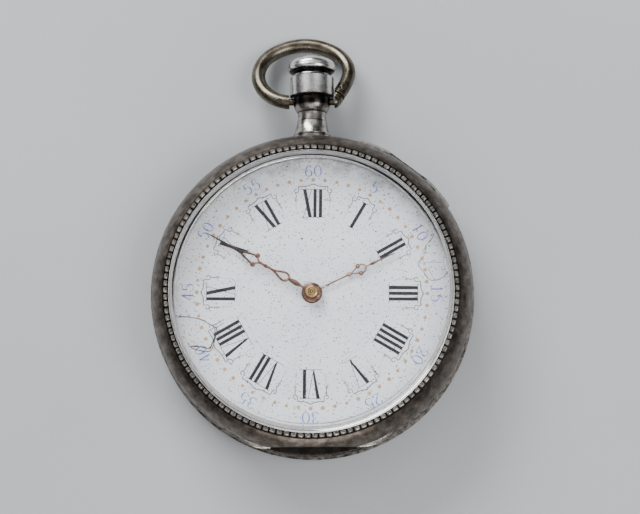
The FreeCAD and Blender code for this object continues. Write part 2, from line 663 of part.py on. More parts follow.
def pallet_stones():
    """Two jewelled stones set in slots at the ends of the pallet arms."""
    along, across = escapement_axes()
    stones = []
    for side in (-1, 1):
        heel = PALLET + across * (1.75 * side) - along * 0.45
        tip = heel - along * 0.32
        stones.append(bar(heel, tip, 0.24, 4.95, 5.2))
    return group(stones)


# ---------------------------------------------------------------- balance
def balance_wheel():
    z0, z1 = 3.55, 4.15
    along, across = escapement_axes()
    rim = ring(6.45, 5.75, z0, z1, BALANCE)
    arm = bar(BALANCE - across * 6.0, BALANCE + across * 6.0, 0.8, z0, z0 + 0.3)
    staff = joined([cylinder(0.35, 3.0, 5.5, BALANCE), cylinder(PIVOT_R, 2.6, 6.4, BALANCE)])
    roller = cylinder(1.1, 4.4, 4.7, BALANCE)
    pin = cylinder(0.12, 4.65, 5.3, BALANCE - along * 0.75)
    return joined([rim, arm, staff, roller, pin])


def balance_screws():
    """Timing screws spread round the rim, seen as small cylinders."""
    screws = []
    for i in range(16):
        if i % 8 in (0, 4):
            continue
        direction = polar(1, 22.5 * i + 11)
        start = BALANCE + direction * 6.4 + Vec(0, 0, 3.85)
        screws.append(Part.makeCylinder(0.24, 0.42, start, direction))
    return group(screws)


def hairspring():
    return spiral(BALANCE, 0.42, 3.1, 9, 0.07, 3.08, 3.3, 200)


def hairspring_stud():
    return cylinder(0.2, 2.45, 3.3, STUD)


def balance_cock():
    """A broad arm from the plate's edge to the balance's upper pivot."""
    z0, z1 = 2.4, 2.9
    leg = cylinder(1.9, z1 - 0.05, PLATE_Z[0] - 0.05, COCK_FOOT)
    arm = [bar(COCK_FOOT, BALANCE, 2.6, z0, z1), cylinder(2.0, z0, z1, COCK_FOOT)]
    seats = [cylinder(0.6, z0, z1, STUD), cylinder(1.5, z0, z1, BALANCE)]
    body = joined(arm + [leg] + seats)
    for at, radius in ((STUD, 0.21), (COCK_FOOT, 0.55), (BALANCE, 0.62)):
        body = body.cut(cylinder(radius, 1, 6, at))
    return body


def regulator():
    """Index lever that turns about the balance's upper jewel, with its curb pins."""
    z0, z1 = 2.08, 2.33
    tail = BALANCE + polar(5.6, 60)
    curb = BALANCE + polar(2.6, 200)
    body = joined([ring(1.3, 0.72, z0, z1, BALANCE), bar(BALANCE + polar(1.0, 60), tail, 0.35, z0, z1),
                   bar(BALANCE + polar(1.0, 200), curb, 0.4, z0, z1)])
    return body


def regulator_cap():
    """Round cap over the balance's jewel; the regulator turns on its skirt."""
    return joined([cylinder(0.66, 2.05, 2.4, BALANCE), cylinder(1.0, 1.85, 2.05, BALANCE)])


# ---------------------------------------------------------------- plates and bridges
UPPER_PIVOTS = [THIRD, FOURTH, ESCAPE]
BARREL_BRIDGE_SCREWS = [polar(18.6, 22), polar(18.6, 78), polar(18.6, 338)]
TRAIN_BRIDGE_SCREWS = [polar(18.6, 112), polar(18.6, 165), polar(18.6, 218)]
CASE_SCREWS = [polar(20.0, 135), polar(20.0, 315)]
DIAL_FEET = [polar(19.2, a) for a in (60, 180, 300)]
COCK_FOOT = polar(18.3, 283)
STUD = BALANCE + polar(3.28, 250)


def half_disc(above, shift):
    """A half disc of the movement's radius, on one side of the line y = shift."""
    disc = cylinder(20.4, *BRIDGE_Z)
    wall = ring(20.4, 17.4, BRIDGE_Z[1], PLATE_Z[0] - 0.03)
    body = disc.fuse(wall)
    for at in CASE_SCREWS:
        body = body.cut(cylinder(1.05, 4.9, 7, at))
    cut = (shift, 30) if not above else (-30, shift)
    return body.cut(block(-30, 30, cut[0], cut[1], 1, 7))


def barrel_bridge():
    body = half_disc(True, -1.6)
    body = body.cut(cylinder(8.3, BRIDGE_Z[1], 7, BARREL))
    body = body.cut(cylinder(7.6, 1, 7, BALANCE)).cut(block(-30, -7.0, -3, 11.5, 1, 7))
    body = body.cut(cylinder(2.95, BRIDGE_Z[0] - 0.1, 7, CROWN_WHEEL))
    body = body.cut(block(-2.4, 2.4, 12.0, 30, BRIDGE_Z[1], 7))
    body = body.cut(cylinder(0.79, 1, 7, BARREL)).cut(cylinder(0.46, 1, 7, CENTRE))
    for at in BARREL_BRIDGE_SCREWS:
        body = body.cut(cylinder(0.52, 1, 7, at))
    body = body.cut(cylinder(0.42, 1, BRIDGE_Z[1] + 0.1, CLICK))
    return body


def train_bridge():
    body = half_disc(False, -1.9)
    body = body.cut(cylinder(7.6, 1, 7, BALANCE)).cut(block(-30, -14.6, -9, 0, 1, 7))
    for at in UPPER_PIVOTS:
        body = body.cut(cylinder(0.62, 1, 7, at))
    for at in TRAIN_BRIDGE_SCREWS:
        body = body.cut(cylinder(0.52, 1, 7, at))
    return body


def pallet_bridge():
    """Small bar over the pallet staff, on two short legs."""
    along, across = escapement_axes()
    ends = [PALLET + across * 3.2, PALLET - across * 2.0 + along * 0.9]
    tops = [bar(PALLET, end, 1.3, 4.3, 4.62) for end in ends]
    legs = [cylinder(0.45, 4.5, PLATE_Z[0] - 0.02, end) for end in ends]
    body = joined(tops + legs).cut(cylinder(JEWEL_HOLE_R, 4, 6, PALLET))
    return body


def main_plate():
    body = cylinder(PLATE_R, *PLATE_Z).fuse(cylinder(PLATE_FLANGE_R, 6.4, PLATE_Z[1]))
    body = body.cut(cylinder(0.46, 5, 8))
    body = body.cut(block(-0.75, 0.75, 11.9, 13.6, PLATE_Z[0] - 1, 8))
    body = body.cut(block(-1.6, 1.6, 12.3, 17.55, 5, 8)).cut(block(-1.75, 1.75, 17.5, 18.55, 5, 8))
    body = body.cut(rod_y(0.6, 18, 22)).cut(block(0.2, 1.0, 18.5, 20.6, 5, 8))
    for at in [THIRD, FOURTH, ESCAPE, PALLET, BALANCE]:
        body = body.cut(cylinder(0.62, 5, 8, at))
    body = body.cut(cylinder(0.79, 5, 8, BARREL))
    for at, radius in ((LEVER_PIVOT, 0.35), (YOKE_PIVOT, 0.35), (SETTING, 0.4), (MINUTE_WHEEL, 0.3)):
        body = body.cut(cylinder(radius, 6.4, 8, at))
    for at in BARREL_BRIDGE_SCREWS + TRAIN_BRIDGE_SCREWS + [COCK_FOOT]:
        body = body.cut(cylinder(0.52, 5, 8, at))
    for at in DIAL_FEET + CASE_SCREWS:
        body = body.cut(cylinder(0.47, 5, 8, at))
    return body


def jewel(at, z0, z1):
    return ring(0.6, JEWEL_HOLE_R, z0, z1, at)


def bridge_jewels():
    return group([jewel(at, 2.75, 3.3) for at in UPPER_PIVOTS] + [jewel(BALANCE, 2.45, 2.88)])


def plate_jewels():
    return group([jewel(at, 5.7, 6.3) for at in (THIRD, FOURTH, ESCAPE, PALLET, BALANCE)])


def slotted_screw(at, top, low, head_r, shank_r):
    """A cheese-head screw, head towards the back of the watch."""
    body = joined([cylinder(head_r, top, top + 0.4, at), cylinder(shank_r, top + 0.35, low, at)])
    return body.cut(block(at.x - 2, at.x + 2, at.y - 0.12, at.y + 0.12, top - 0.1, top + 0.16))


def bridge_screws():
    places = BARREL_BRIDGE_SCREWS + TRAIN_BRIDGE_SCREWS
    return group([slotted_screw(at, 2.03, 6.2, 0.95, 0.5) for at in places])


def cock_screw():
    return slotted_screw(COCK_FOOT, 1.98, 6.2, 1.0, 0.5)


def case_screws():
    """Two screws that hold the movement in the middle by the edge of their heads."""
    return group([slotted_screw(at, 5.15, 6.3, 0.9, 0.4) for at in CASE_SCREWS])


# ---------------------------------------------------------------- dial side
def dial():
    rim = DIAL_R
    body = turned([
        (1.6, DIAL_Z[0]), (rim, DIAL_Z[0]), (rim, DIAL_Z[1] - 0.35),
        ((rim - 0.15, DIAL_Z[1] - 0.08), (rim - 0.5, DIAL_Z[1])), (1.6, DIAL_Z[1])])
    return body


def dial_feet():
    """Copper feet that peg the dial to the main plate."""
    return group([cylinder(0.45, 6.2, DIAL_Z[0] - 0.01, at) for at in DIAL_FEET])


def minute_wheel():
    disc = gear(MINUTE_WHEEL_TEETH, MOTION_MODULE, *MOTION_Z, MINUTE_WHEEL, PHASES["minute wheel"])
    leaves = gear(MINUTE_PINION_TEETH, HOUR_MODULE, MOTION_Z[1] - 0.05, 7.62, MINUTE_WHEEL, 0.0)
    return joined([disc, leaves]).cut(cylinder(0.33, 6, 9, MINUTE_WHEEL))


def hour_wheel():
    disc = gear(HOUR_TEETH, HOUR_MODULE, *HOUR_WHEEL_Z, CENTRE, PHASES["hour"])
    return joined([disc, cylinder(1.05, 7.36, 9.15)]).cut(cylinder(0.67, 6, 11))


def taper(y0, y1, half0, half1, z0, z1):
    return prism([(-half0, y0), (half0, y0), (half1, y1), (-half1, y1)], z0, z1)


def arch(y0, y1, spread, width, z0, z1):
    """A pair of curved arms that leave the centre line, bulge and meet again."""
    arms = []
    for side in (-1, 1):
        path = []
        for i in range(13):
            share = i / 12
            path.append((side * spread * math.sin(math.pi * share) ** 1.2, y0 + (y1 - y0) * share))
        arms.append(ribbon(path, width, z0, z1))
    return arms


def knob(y, radius, z, x=0.0):
    return cylinder(radius, z[0], z[1], Vec(x, y, 0))


def pointed(parts, clockwise_deg):
    body = joined(parts)
    body.rotate(CENTRE, Vec(0, 0, 1), -(clockwise_deg + DIAL_TURN_CW))
    return body


def minute_hand():
    z = MINUTE_HAND_Z
    parts = [cylinder(1.45, *z), taper(1.2, 4.1, 0.28, 0.2, *z), knob(2.8, 0.42, z)]
    parts += arch(3.3, 7.6, 0.68, 0.3, *z) + [knob(8.05, 0.38, z), taper(7.3, 8.6, 0.2, 0.2, *z)]
    parts += arch(8.3, 12.7, 0.74, 0.3, *z)
    parts += [knob(9.9, 0.4, z, side * 0.85) for side in (-1, 1)]
    parts += [taper(12.4, MINUTE_LENGTH, 0.3, 0.08, *z)]
    return pointed(parts, MINUTE_CW).cut(cylinder(0.63, 9, 11))


def hour_hand():
    z = HOUR_HAND_Z
    parts = [cylinder(1.5, *z), taper(1.3, 6.4, 0.24, 0.2, *z), knob(2.25, 0.45, z), knob(6.2, 0.42, z)]
    parts += arch(6.4, 9.7, 0.66, 0.3, *z) + [knob(7.8, 0.38, z, side * 0.8) for side in (-1, 1)]
    parts += [ring(0.42, 0.18, *z, Vec(0, 10.0, 0)), knob(10.65, 0.34, z)]
    parts += [taper(10.4, HOUR_LENGTH, 0.24, 0.08, *z)]
    return pointed(parts, HOUR_CW).cut(cylinder(1.06, 8, 11))


def hand_cap():
    """Brass cap pressed over the end of the cannon pinion."""
    return turned([(0, 9.87), (1.0, 9.87), (1.03, 9.95), (1.0, 10.2), ((0.65, 10.31), (0.2, 10.36)), (0, 10.36)])


def hinge_pin(spans, hinge):
    return hinge_rod(HINGE_PIN_R, (spans[0][0] + 0.05, spans[-1][1] - 0.05), hinge)


def hinge_pins():
    return group([hinge_pin(BEZEL_KNUCKLES, BEZEL_HINGE), hinge_pin(BACK_KNUCKLES, BACK_HINGE)])


NODES = {
    "case_middle": case_middle,
    "bezel": bezel,
    "crystal": crystal,
    "back_cover": back_cover,
    "cuvette": cuvette,
    "hinge_pins": hinge_pins,
    "pendant_neck": pendant_neck,
    "bow": bow,
    "crown": crown,
    "stem": stem,
    "stem_sleeve": sleeve,
    "winding_pinion": winding_pinion,
    "clutch_wheel": clutch_wheel,
    "setting_lever": setting_lever,
    "yoke": yoke,
    "yoke_spring": yoke_spring,
    "lever_studs": lever_studs,
    "setting_wheel": setting_wheel,
    "motion_posts": motion_posts,
    "crown_wheel": crown_wheel,
    "crown_wheel_core": crown_wheel_core,
    "ratchet_wheel": ratchet_wheel,
    "ratchet_screw": ratchet_screw,
    "click": click,
    "click_screw": click_screw,
    "click_spring": click_spring,
    "barrel_drum": barrel_drum,
    "barrel_lid": barrel_lid,
    "barrel_arbor": barrel_arbor,
    "mainspring": mainspring,
    "centre_wheel": centre_wheel,
    "cannon_pinion": cannon_pinion,
    "third_wheel": third_wheel,
    "fourth_wheel": fourth_wheel,
    "escape_wheel": escape_wheel,
    "pallet_fork": pallet_fork,
    "pallet_stones": pallet_stones,
    "balance_wheel": balance_wheel,
    "balance_screws": balance_screws,
    "hairspring": hairspring,
    "hairspring_stud": hairspring_stud,
    "balance_cock": balance_cock,
    "regulator": regulator,
    "regulator_cap": regulator_cap,
    "barrel_bridge": barrel_bridge,
    "train_bridge": train_bridge,
    "pallet_bridge": pallet_bridge,
    "main_plate": main_plate,
    "bridge_jewels": bridge_jewels,
    "plate_jewels": plate_jewels,
    "bridge_screws": bridge_screws,
    "cock_screw": cock_screw,
    "case_screws": case_screws,
    "dial": dial,
    "dial_feet": dial_feet,
    "minute_wheel": minute_wheel,
    "hour_wheel": hour_wheel,
    "hour_hand": hour_hand,
    "minute_hand": minute_hand,
    "hand_cap": hand_cap,
}


def main():
    os.makedirs("parts", exist_ok=True)
    for name, make in NODES.items():
        shape = make()
        print(name, len(shape.Solids), round(shape.Volume, 3), shape.isValid())
        shape.exportStep("parts/" + name + ".step")


main()
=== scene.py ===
import math
import random

import bmesh
import bpy
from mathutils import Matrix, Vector


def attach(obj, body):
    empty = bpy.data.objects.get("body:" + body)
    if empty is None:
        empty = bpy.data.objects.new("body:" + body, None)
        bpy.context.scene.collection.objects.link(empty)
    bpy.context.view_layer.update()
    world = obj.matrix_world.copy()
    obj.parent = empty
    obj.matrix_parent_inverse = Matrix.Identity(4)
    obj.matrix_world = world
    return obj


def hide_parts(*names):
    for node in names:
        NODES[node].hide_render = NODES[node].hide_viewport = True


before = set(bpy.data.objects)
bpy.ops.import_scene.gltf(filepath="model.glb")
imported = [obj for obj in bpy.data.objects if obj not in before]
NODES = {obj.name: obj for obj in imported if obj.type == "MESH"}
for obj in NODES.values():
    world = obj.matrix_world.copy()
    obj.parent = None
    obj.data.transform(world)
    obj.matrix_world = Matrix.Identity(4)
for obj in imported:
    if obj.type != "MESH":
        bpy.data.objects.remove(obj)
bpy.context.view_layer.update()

MM = 0.001

# Millimetres in the case's own frame: +Z out of the dial, +Y to the pendant, +X to 3 o'clock.
# Places round the dial are degrees clockwise from 12.
DIAL_Z = 8.60
DIAL_TURN = 0.8
MINUTE_AT = 300.0
HOUR_AT = 64.6
HOUR_BED = 9.02
MINUTE_BED = 9.62
CROWN_R = 3.46
BOW_Y, BOW_Z = 30.75, 6.0
BOW_DROOP = 24.9         # degrees the resting bow hangs below the dial's plane
BOW_WIRE = 1.1           # its wire's radius
MARK_FACING = (0.03, -0.26, 0.965)    # which way the marks on the wire look
BEADS = 130
BEAD_R = 21.92
BEZEL_TOP = 13.05
HINGE_LIP = (15.5, 58.5)
NAIL_LIP = (149.5, 207.5)
RIBBON_EDGE = 0.05       # upright edge of a rounded ribbon
RIBBON_ARC = 8           # faces over its top
BUTTON_EDGE = 0.03       # upright edge of a domed disc

CAMERA_AT = (8.3769, -35.1734, 250.2124)
CAMERA_TURN = (0.166929, 0.030169, -0.003916)


# ---------------------------------------------------------------- meshes

class Shape:
    """Vertices in millimetres and faces, gathered from closed forms."""

    def __init__(self):
        self.verts, self.faces, self.slots = [], [], []

    def add(self, verts, faces, slot):
        start = len(self.verts)
        self.verts += [tuple(v) for v in verts]
        self.faces += [tuple(start + i for i in f) for f in faces]
        self.slots += [slot] * len(faces)

    def loft(self, rings, slot=0, closed=False):
        """Rings of equal length, joined one to the next. The ends are filled, or joined if closed."""
        n = len(rings[0])
        verts = [v for ring in rings for v in ring]
        faces = []
        count = len(rings)
        for i in range(count if closed else count - 1):
            a, b = i * n, (i + 1) % count * n
            for j in range(n):
                k = (j + 1) % n
                faces.append((a + j, a + k, b + k, b + j))
        if not closed:
            faces.append(tuple(range(n - 1, -1, -1)))
            faces.append(tuple((count - 1) * n + j for j in range(n)))
        self.add(verts, faces, slot)

    def piece(self, name, body, slot, materials, smooth=None):
        """The finished object. Edges flatter than smooth, in degrees, are rounded in shading."""
        mesh = bpy.data.meshes.new(name)
        mesh.from_pydata([(x * MM, y * MM, z * MM) for x, y, z in self.verts], [], self.faces)
        for m in materials:
            mesh.materials.append(m)
        mesh.polygons.foreach_set("material_index", self.slots)
        mesh.update()
        tidy = bmesh_of(mesh)
        if smooth is not None:
            for f in tidy.faces:
                f.smooth = True
            for e in tidy.edges:
                e.smooth = len(e.link_faces) == 2 and e.calc_face_angle(0) < math.radians(smooth)
        tidy.to_mesh(mesh)
        tidy.free()
        o = bpy.data.objects.new(name, mesh)
        bpy.context.scene.collection.objects.link(o)
        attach(o, body)
        return o


def bmesh_of(mesh):
    """The mesh with its faces turned outwards, ready for edits."""
    made = bmesh.new()
    made.from_mesh(mesh)
    bmesh.ops.recalc_face_normals(made, faces=made.faces[:])
    return made


def at(angle, u, r, z=0.0):
    """A point u across and r out from the centre, at an angle clockwise from 12."""
    a = math.radians(angle)
    return (r * math.sin(a) + u * math.cos(a), r * math.cos(a) - u * math.sin(a), z)


def smooth_line(points, steps, closed=False):
    """A Catmull-Rom curve through the points."""
    n = len(points)
    out = []
    for i in range(n if closed else n - 1):
        p = [points[(i + k) % n] if closed else points[min(max(i + k, 0), n - 1)]
             for k in (-1, 0, 1, 2)]
        for s in range(steps):
            t = s / steps
            w = ((-t + 2 * t * t - t ** 3) / 2, (2 - 5 * t * t + 3 * t ** 3) / 2,
                 (t + 4 * t * t - 3 * t ** 3) / 2, (t ** 3 - t * t) / 2)
            out.append(tuple(sum(wk * pk[c] for wk, pk in zip(w, p))
                             for c in range(len(points[0]))))
    if not closed:
        out.append(tuple(points[-1]))
    return out


def sides(points, widths, closed):
    """The left and right points of a flat stroke."""
    n = len(points)
    left, right = [], []
    for i, (x, y) in enumerate(points):
        before = points[(i - 1) % n] if closed or i else points[0]
        after = points[(i + 1) % n] if closed or i < n - 1 else points[-1]
        d1 = Vector((x - before[0], y - before[1]))
        d2 = Vector((after[0] - x, after[1] - y))
        d1 = d1.normalized() if d1.length else d2.normalized()
        d2 = d2.normalized() if d2.length else d1
        mid = d1 + d2
        mid = mid.normalized() if mid.length > 1e-6 else d1
        normal = Vector((-mid.y, mid.x))
        stretch = 1 / max(0.5, abs(normal.dot(Vector((-d1.y, d1.x)))))
        w = widths[i] / 2 * stretch
        left.append((x + normal.x * w, y + normal.y * w))
        right.append((x - normal.x * w, y - normal.y * w))
    return left, right


def stroke(shape, points, width, z0, z1, slot=0, closed=False, place=None):
    """A thin closed ribbon along a line. Width is one number or one for each point."""
    widths = width if isinstance(width, (list, tuple)) else [width] * len(points)
    left, right = sides(points, widths, closed)
    if place:
        left = [place(*p) for p in left]
        right = [place(*p) for p in right]
    rings = [[(a[0], a[1], z0), (b[0], b[1], z0), (b[0], b[1], z1), (a[0], a[1], z1)]
             for a, b in zip(left, right)]
    shape.loft(rings, slot, closed)


def plate(shape, outline, z0, z1, slot=0, place=None):
    """A flat closed plate from an outline."""
    if place:
        outline = [place(*p) for p in outline]
    shape.loft([[(x, y, z0) for x, y in outline], [(x, y, z1) for x, y in outline]], slot)


def dome_stroke(shape, points, widths, bed, height, closed, place):
    """A ribbon with a rounded top."""
    left, right = sides(points, widths, closed)
    rings = []
    for a, b in zip(left, right):
        a, b = place(*a), place(*b)
        ring = []
        for k in range(RIBBON_ARC + 1):
            t = math.pi * k / RIBBON_ARC
            f = (1 + math.cos(t)) / 2
            z = bed + RIBBON_EDGE + height * math.sin(t)
            ring.append((a[0] * f + b[0] * (1 - f), a[1] * f + b[1] * (1 - f), z))
        ring.append((b[0], b[1], bed))
        ring.append((a[0], a[1], bed))
        rings.append(ring)
    shape.loft(rings, closed=closed)


def circle(centre, radius, corners):
    """Points round a centre, anticlockwise from its +X side."""
    x, y = centre
    turns = (2 * math.pi * k / corners for k in range(corners))
    return [(x + radius * math.cos(a), y + radius * math.sin(a)) for a in turns]


def turned(shape, profile, steps):
    """A ring turned about the watch's axis. The profile is (r, z) and closed, off the axis."""
    rings = []
    for i in range(steps):
        a = 2 * math.pi * i / steps
        rings.append([(r * math.cos(a), r * math.sin(a), z) for r, z in profile])
    shape.loft(rings, closed=True)


def button(shape, centre, radius, bed, height, steps=24, rings=5):
    """A small domed disc."""
    loops = [[(x, y, bed) for x, y in circle(centre, radius, steps)]]
    for i in range(rings):
        t = math.pi / 2 * i / rings
        z = bed + BUTTON_EDGE + (height - BUTTON_EDGE) * math.sin(t)
        loops.append([(x, y, z) for x, y in circle(centre, radius * math.cos(t), steps)])
    shape.loft(loops)


# ---------------------------------------------------------------- materials

class Finish:
    """A node material with one Principled shader and the patterns that feed it."""

    def __init__(self, name, metallic=0.0, roughness=0.5, colour=(0.5, 0.5, 0.5), **sockets):
        self.material = bpy.data.materials.new(name)
        self.material.use_nodes = True
        self.tree = self.material.node_tree
        self.shader = self.tree.nodes["Principled BSDF"]
        self.shader.inputs["Base Color"].default_value = (*colour, 1)
        self.shader.inputs["Metallic"].default_value = metallic
        self.shader.inputs["Roughness"].default_value = roughness
        for key, value in sockets.items():
            self.shader.inputs[key.replace("_", " ")].default_value = value
        self.coords = self.new("ShaderNodeTexCoord").outputs["Object"]

    def new(self, kind, **props):
        node = self.tree.nodes.new(kind)
        for key, value in props.items():
            setattr(node, key, value)
        return node

    def join(self, a, b):
        self.tree.links.new(a, b)

    def noise(self, size, detail, rough=0.55, stretch=None, turn=(0, 0, 0)):
        """Noise whose features are about size millimetres across."""
        node = self.new("ShaderNodeTexNoise")
        node.inputs["Scale"].default_value = 1 / (size * MM)
        node.inputs["Detail"].default_value = detail
        node.inputs["Roughness"].default_value = rough
        source = self.coords
        if stretch:
            mapping = self.new("ShaderNodeMapping")
            mapping.inputs["Scale"].default_value = stretch
            mapping.inputs["Rotation"].default_value = turn
            self.join(source, mapping.inputs["Vector"])
            source = mapping.outputs["Vector"]
        self.join(source, node.inputs["Vector"])
        return node.outputs["Fac"]

    def span(self, value, low, high, out_low=0.0, out_high=1.0):
        """Low..high of a value spread over out_low..out_high, and held at the ends."""
        node = self.new("ShaderNodeMapRange")
        limits = {"From Min": low, "From Max": high, "To Min": out_low, "To Max": out_high}
        for socket, number in limits.items():
            node.inputs[socket].default_value = number
        self.join(value, node.inputs["Value"])
        return node.outputs["Result"]

    def maths(self, kind, a, b):
        node = self.new("ShaderNodeMath", operation=kind)
        for socket, value in zip(node.inputs, (a, b)):
            if isinstance(value, (int, float)):
                socket.default_value = value
            else:
                self.join(value, socket)
        return node.outputs[0]

    def times(self, first, *others):
        for other in others:
            first = self.maths("MULTIPLY", first, other)
        return first

    def most(self, a, b):
        return self.maths("MAXIMUM", a, b)

    def line(self, value, place, outer, inner):
        """1 within inner of a place and 0 beyond outer."""
        away = self.maths("ABSOLUTE", self.maths("SUBTRACT", value, place), 0)
        return self.span(away, outer, inner)

    def ramp(self, value, stops):
        node = self.new("ShaderNodeValToRGB")
        ramp = node.color_ramp
        while len(ramp.elements) < len(stops):
            ramp.elements.new(0.5)
        for element, (place, colour) in zip(ramp.elements, stops):
            element.position = place
            element.color = (*colour, 1)
        self.join(value, node.inputs["Fac"])
        return node.outputs["Color"]

    def mix(self, share, a, b):
        node = self.new("ShaderNodeMix", data_type="RGBA")
        for socket, value in ((node.inputs[0], share), (node.inputs[6], a), (node.inputs[7], b)):
            if isinstance(value, tuple):
                socket.default_value = (*value, 1)
            elif isinstance(value, (int, float)):
                socket.default_value = value
            else:
                self.join(value, socket)
        return node.outputs[2]

    def split(self):
        node = self.new("ShaderNodeSeparateXYZ")
        self.join(self.coords, node.inputs[0])
        return node.outputs

    def radius(self):
        """Distance from the watch's axis in millimetres."""
        split = self.split()
        x2 = self.times(split["X"], split["X"])
        y2 = self.times(split["Y"], split["Y"])
        return self.times(self.maths("SQRT", self.maths("ADD", x2, y2), 0), 1 / MM)

    def height(self):
        """Millimetres out of the dial."""
        return self.times(self.split()["Z"], 1 / MM)

    def upward(self):
        """Millimetres towards the pendant."""
        return self.times(self.split()["Y"], 1 / MM)

    def colour(self, source):
        self.join(source, self.shader.inputs["Base Color"])
        return self

    def rough(self, source):
        self.join(source, self.shader.inputs["Roughness"])
        return self

    def bump(self, source, depth):
        """Relief whose full height is depth millimetres."""
        node = self.new("ShaderNodeBump")
        node.inputs["Distance"].default_value = depth * MM
        node.inputs["Strength"].default_value = 1.0
        self.join(source, node.inputs["Height"])
        self.join(node.outputs["Normal"], self.shader.inputs["Normal"])
        return self

    def scratches(self):
        """Fine crossing lines, 1 where a scratch lies."""
        lines = None
        for turn, size in ((0.5, 0.9), (2.1, 1.3), (-0.7, 0.7)):
            fine = self.noise(size, 2.0, 0.5, (18, 1.0, 1.0), (0.3, 0.2, turn))
            fine = self.span(fine, 0.66, 0.72)
            lines = fine if lines is None else self.most(lines, fine)
        return lines


def metal(name, dark, mid, light, roughness, patch, grain=0.15, depth=0.006, scratched=True):
    """A worn metal: cloudy colour, uneven gloss, fine grain and scratches. Sizes in millimetres."""
    f = Finish(name, 1.0)
    clouds = f.noise(patch, 6.0, 0.6)
    tone = f.ramp(clouds, [(0.32, dark), (0.5, mid), (0.68, light)])
    fine = f.noise(grain, 3.0, 0.6)
    gloss = f.span(f.noise(patch * 0.6, 5.0, 0.65), 0.3, 0.7, roughness[0], roughness[1])
    relief = fine
    if scratched:
        lines = f.scratches()
        tone = f.mix(f.times(lines, 0.35), tone, light)
        relief = f.maths("SUBTRACT", fine, f.times(lines, 0.5))
    f.colour(tone).rough(gloss).bump(relief, depth)
    f.tone = tone
    return f


def case_silver():
    f = metal("tarnished_silver", (0.060, 0.047, 0.038), (0.125, 0.104, 0.088), (0.22, 0.19, 0.165),
              (0.27, 0.46), 1.3)
    radius, height = f.radius(), f.height()
    # dirt in the sunk ring around the beads
    darkened = f.times(f.span(height, 12.80, 12.98), f.span(radius, 22.52, 22.40))
    # darker in the thumb recess under the bezel's straight edge
    under = f.times(f.span(height, 3.3, 4.2), f.span(height, 9.44, 9.36))
    darkened = f.most(darkened, f.times(under, f.span(f.upward(), -21.2, -22.2), 0.8))
    # dirt on the hollow side of the case
    side = f.times(f.span(height, 3.2, 4.0), f.span(height, 9.2, 8.6))
    darkened = f.most(darkened, f.times(f.span(radius, 24.35, 23.9), side, 0.55))
    # the outer edge is rubbed, and a painted highlight runs along the outermost rim, the hinge lip's
    # edge most of all
    worn = f.times(f.span(f.noise(0.8, 4, 0.6), 0.42, 0.6), f.span(radius, 24.28, 24.5))
    tone = f.mix(f.times(worn, 0.6), f.tone, (0.50, 0.47, 0.43))
    edge = f.times(f.span(radius, 24.60, 24.72), f.span(height, 9.2, 9.5))
    tone = f.mix(f.times(edge, 0.85), tone, (0.72, 0.70, 0.66))
    # the bezel's inner wall, seen through the crystal, painted light grey: a painted reflection of the
    # white dial
    wall_reflection = f.times(f.span(radius, 21.75, 21.6), f.span(height, 9.3, 9.6))
    tone = f.mix(f.times(wall_reflection, 0.8), tone, (0.58, 0.57, 0.54))
    return f.colour(f.mix(darkened, tone, (0.012, 0.010, 0.009)))


def bead_silver():
    f = metal("bead_silver", (0.075, 0.066, 0.057), (0.17, 0.155, 0.14), (0.29, 0.27, 0.245),
              (0.42, 0.58), 1.2, 0.1, 0.004)
    low = f.span(f.height(), 13.16, 13.08)
    return f.colour(f.mix(low, f.tone, (0.02, 0.018, 0.016)))


def enamel():
    f = Finish("white_enamel", 0.0, 0.22, (0.77, 0.785, 0.82), Coat_Weight=0.5, Coat_Roughness=0.06)
    clouds = f.ramp(f.noise(7.0, 5, 0.6), [(0.3, (0.71, 0.725, 0.785)), (0.6, (0.79, 0.80, 0.84)),
                                           (0.8, (0.77, 0.765, 0.785))])
    radius = f.radius()
    # patchy darkening near the rim, most of it at the top
    rim_patches = f.span(f.noise(2.6, 6, 0.7), 0.42, 0.66)
    rim = f.times(f.span(radius, 18.0, 20.8), f.span(f.upward(), 4, 19))
    tone = f.mix(f.times(rim_patches, rim, 0.85), clouds, (0.22, 0.21, 0.21))
    edge = f.times(f.span(radius, 20.3, 21.15), f.span(f.noise(1.2, 4, 0.6), 0.35, 0.7))
    tone = f.mix(f.times(edge, 0.55), tone, (0.27, 0.26, 0.25))
    pores = f.span(f.noise(0.28, 2, 0.5), 0.625, 0.68)
    tone = f.mix(f.times(pores, 0.85), tone, (0.10, 0.085, 0.08))
    return f.colour(tone).bump(f.noise(3.0, 3, 0.5), 0.02)


def cap_brass():
    f = metal("brass_cap", (0.40, 0.25, 0.10), (0.62, 0.44, 0.20), (0.80, 0.62, 0.36),
              (0.28, 0.42), 0.5, 0.06, 0.003)
    radius = f.radius()
    # painted shade: dark rings where the cap's grooves lie
    ring_groove_shade = f.line(radius, 0.22, 0.09, 0.04)
    for place, wide in ((0.52, 0.07), (1.02, 0.13)):
        ring_groove_shade = f.most(ring_groove_shade, f.line(radius, place, wide, wide * 0.4))
    return f.colour(f.mix(f.times(ring_groove_shade, 0.95), f.tone, (0.05, 0.022, 0.014)))


def crown_steel():
    f = metal("worn_crown_steel", (0.52, 0.48, 0.45), (0.74, 0.72, 0.71), (0.84, 0.83, 0.82),
              (0.20, 0.30), 2.2, 0.12, 0.002)
    along = f.upward()
    # painted shade: near black in the groove under the crown's domed cap and at the barrel's foot
    cap_groove_shade = f.times(f.span(along, 34.8, 34.95), f.span(along, 35.75, 35.6))
    foot_shade = f.span(along, 31.62, 31.45)
    rust = f.times(f.span(along, 33.2, 31.6), f.span(f.noise(0.9, 4, 0.6), 0.40, 0.62))
    tone = f.mix(f.times(rust, 0.75), f.tone, (0.20, 0.12, 0.085))
    return f.colour(f.mix(f.most(cap_groove_shade, f.times(foot_shade, 0.9)), tone, (0.006, 0.006, 0.007)))


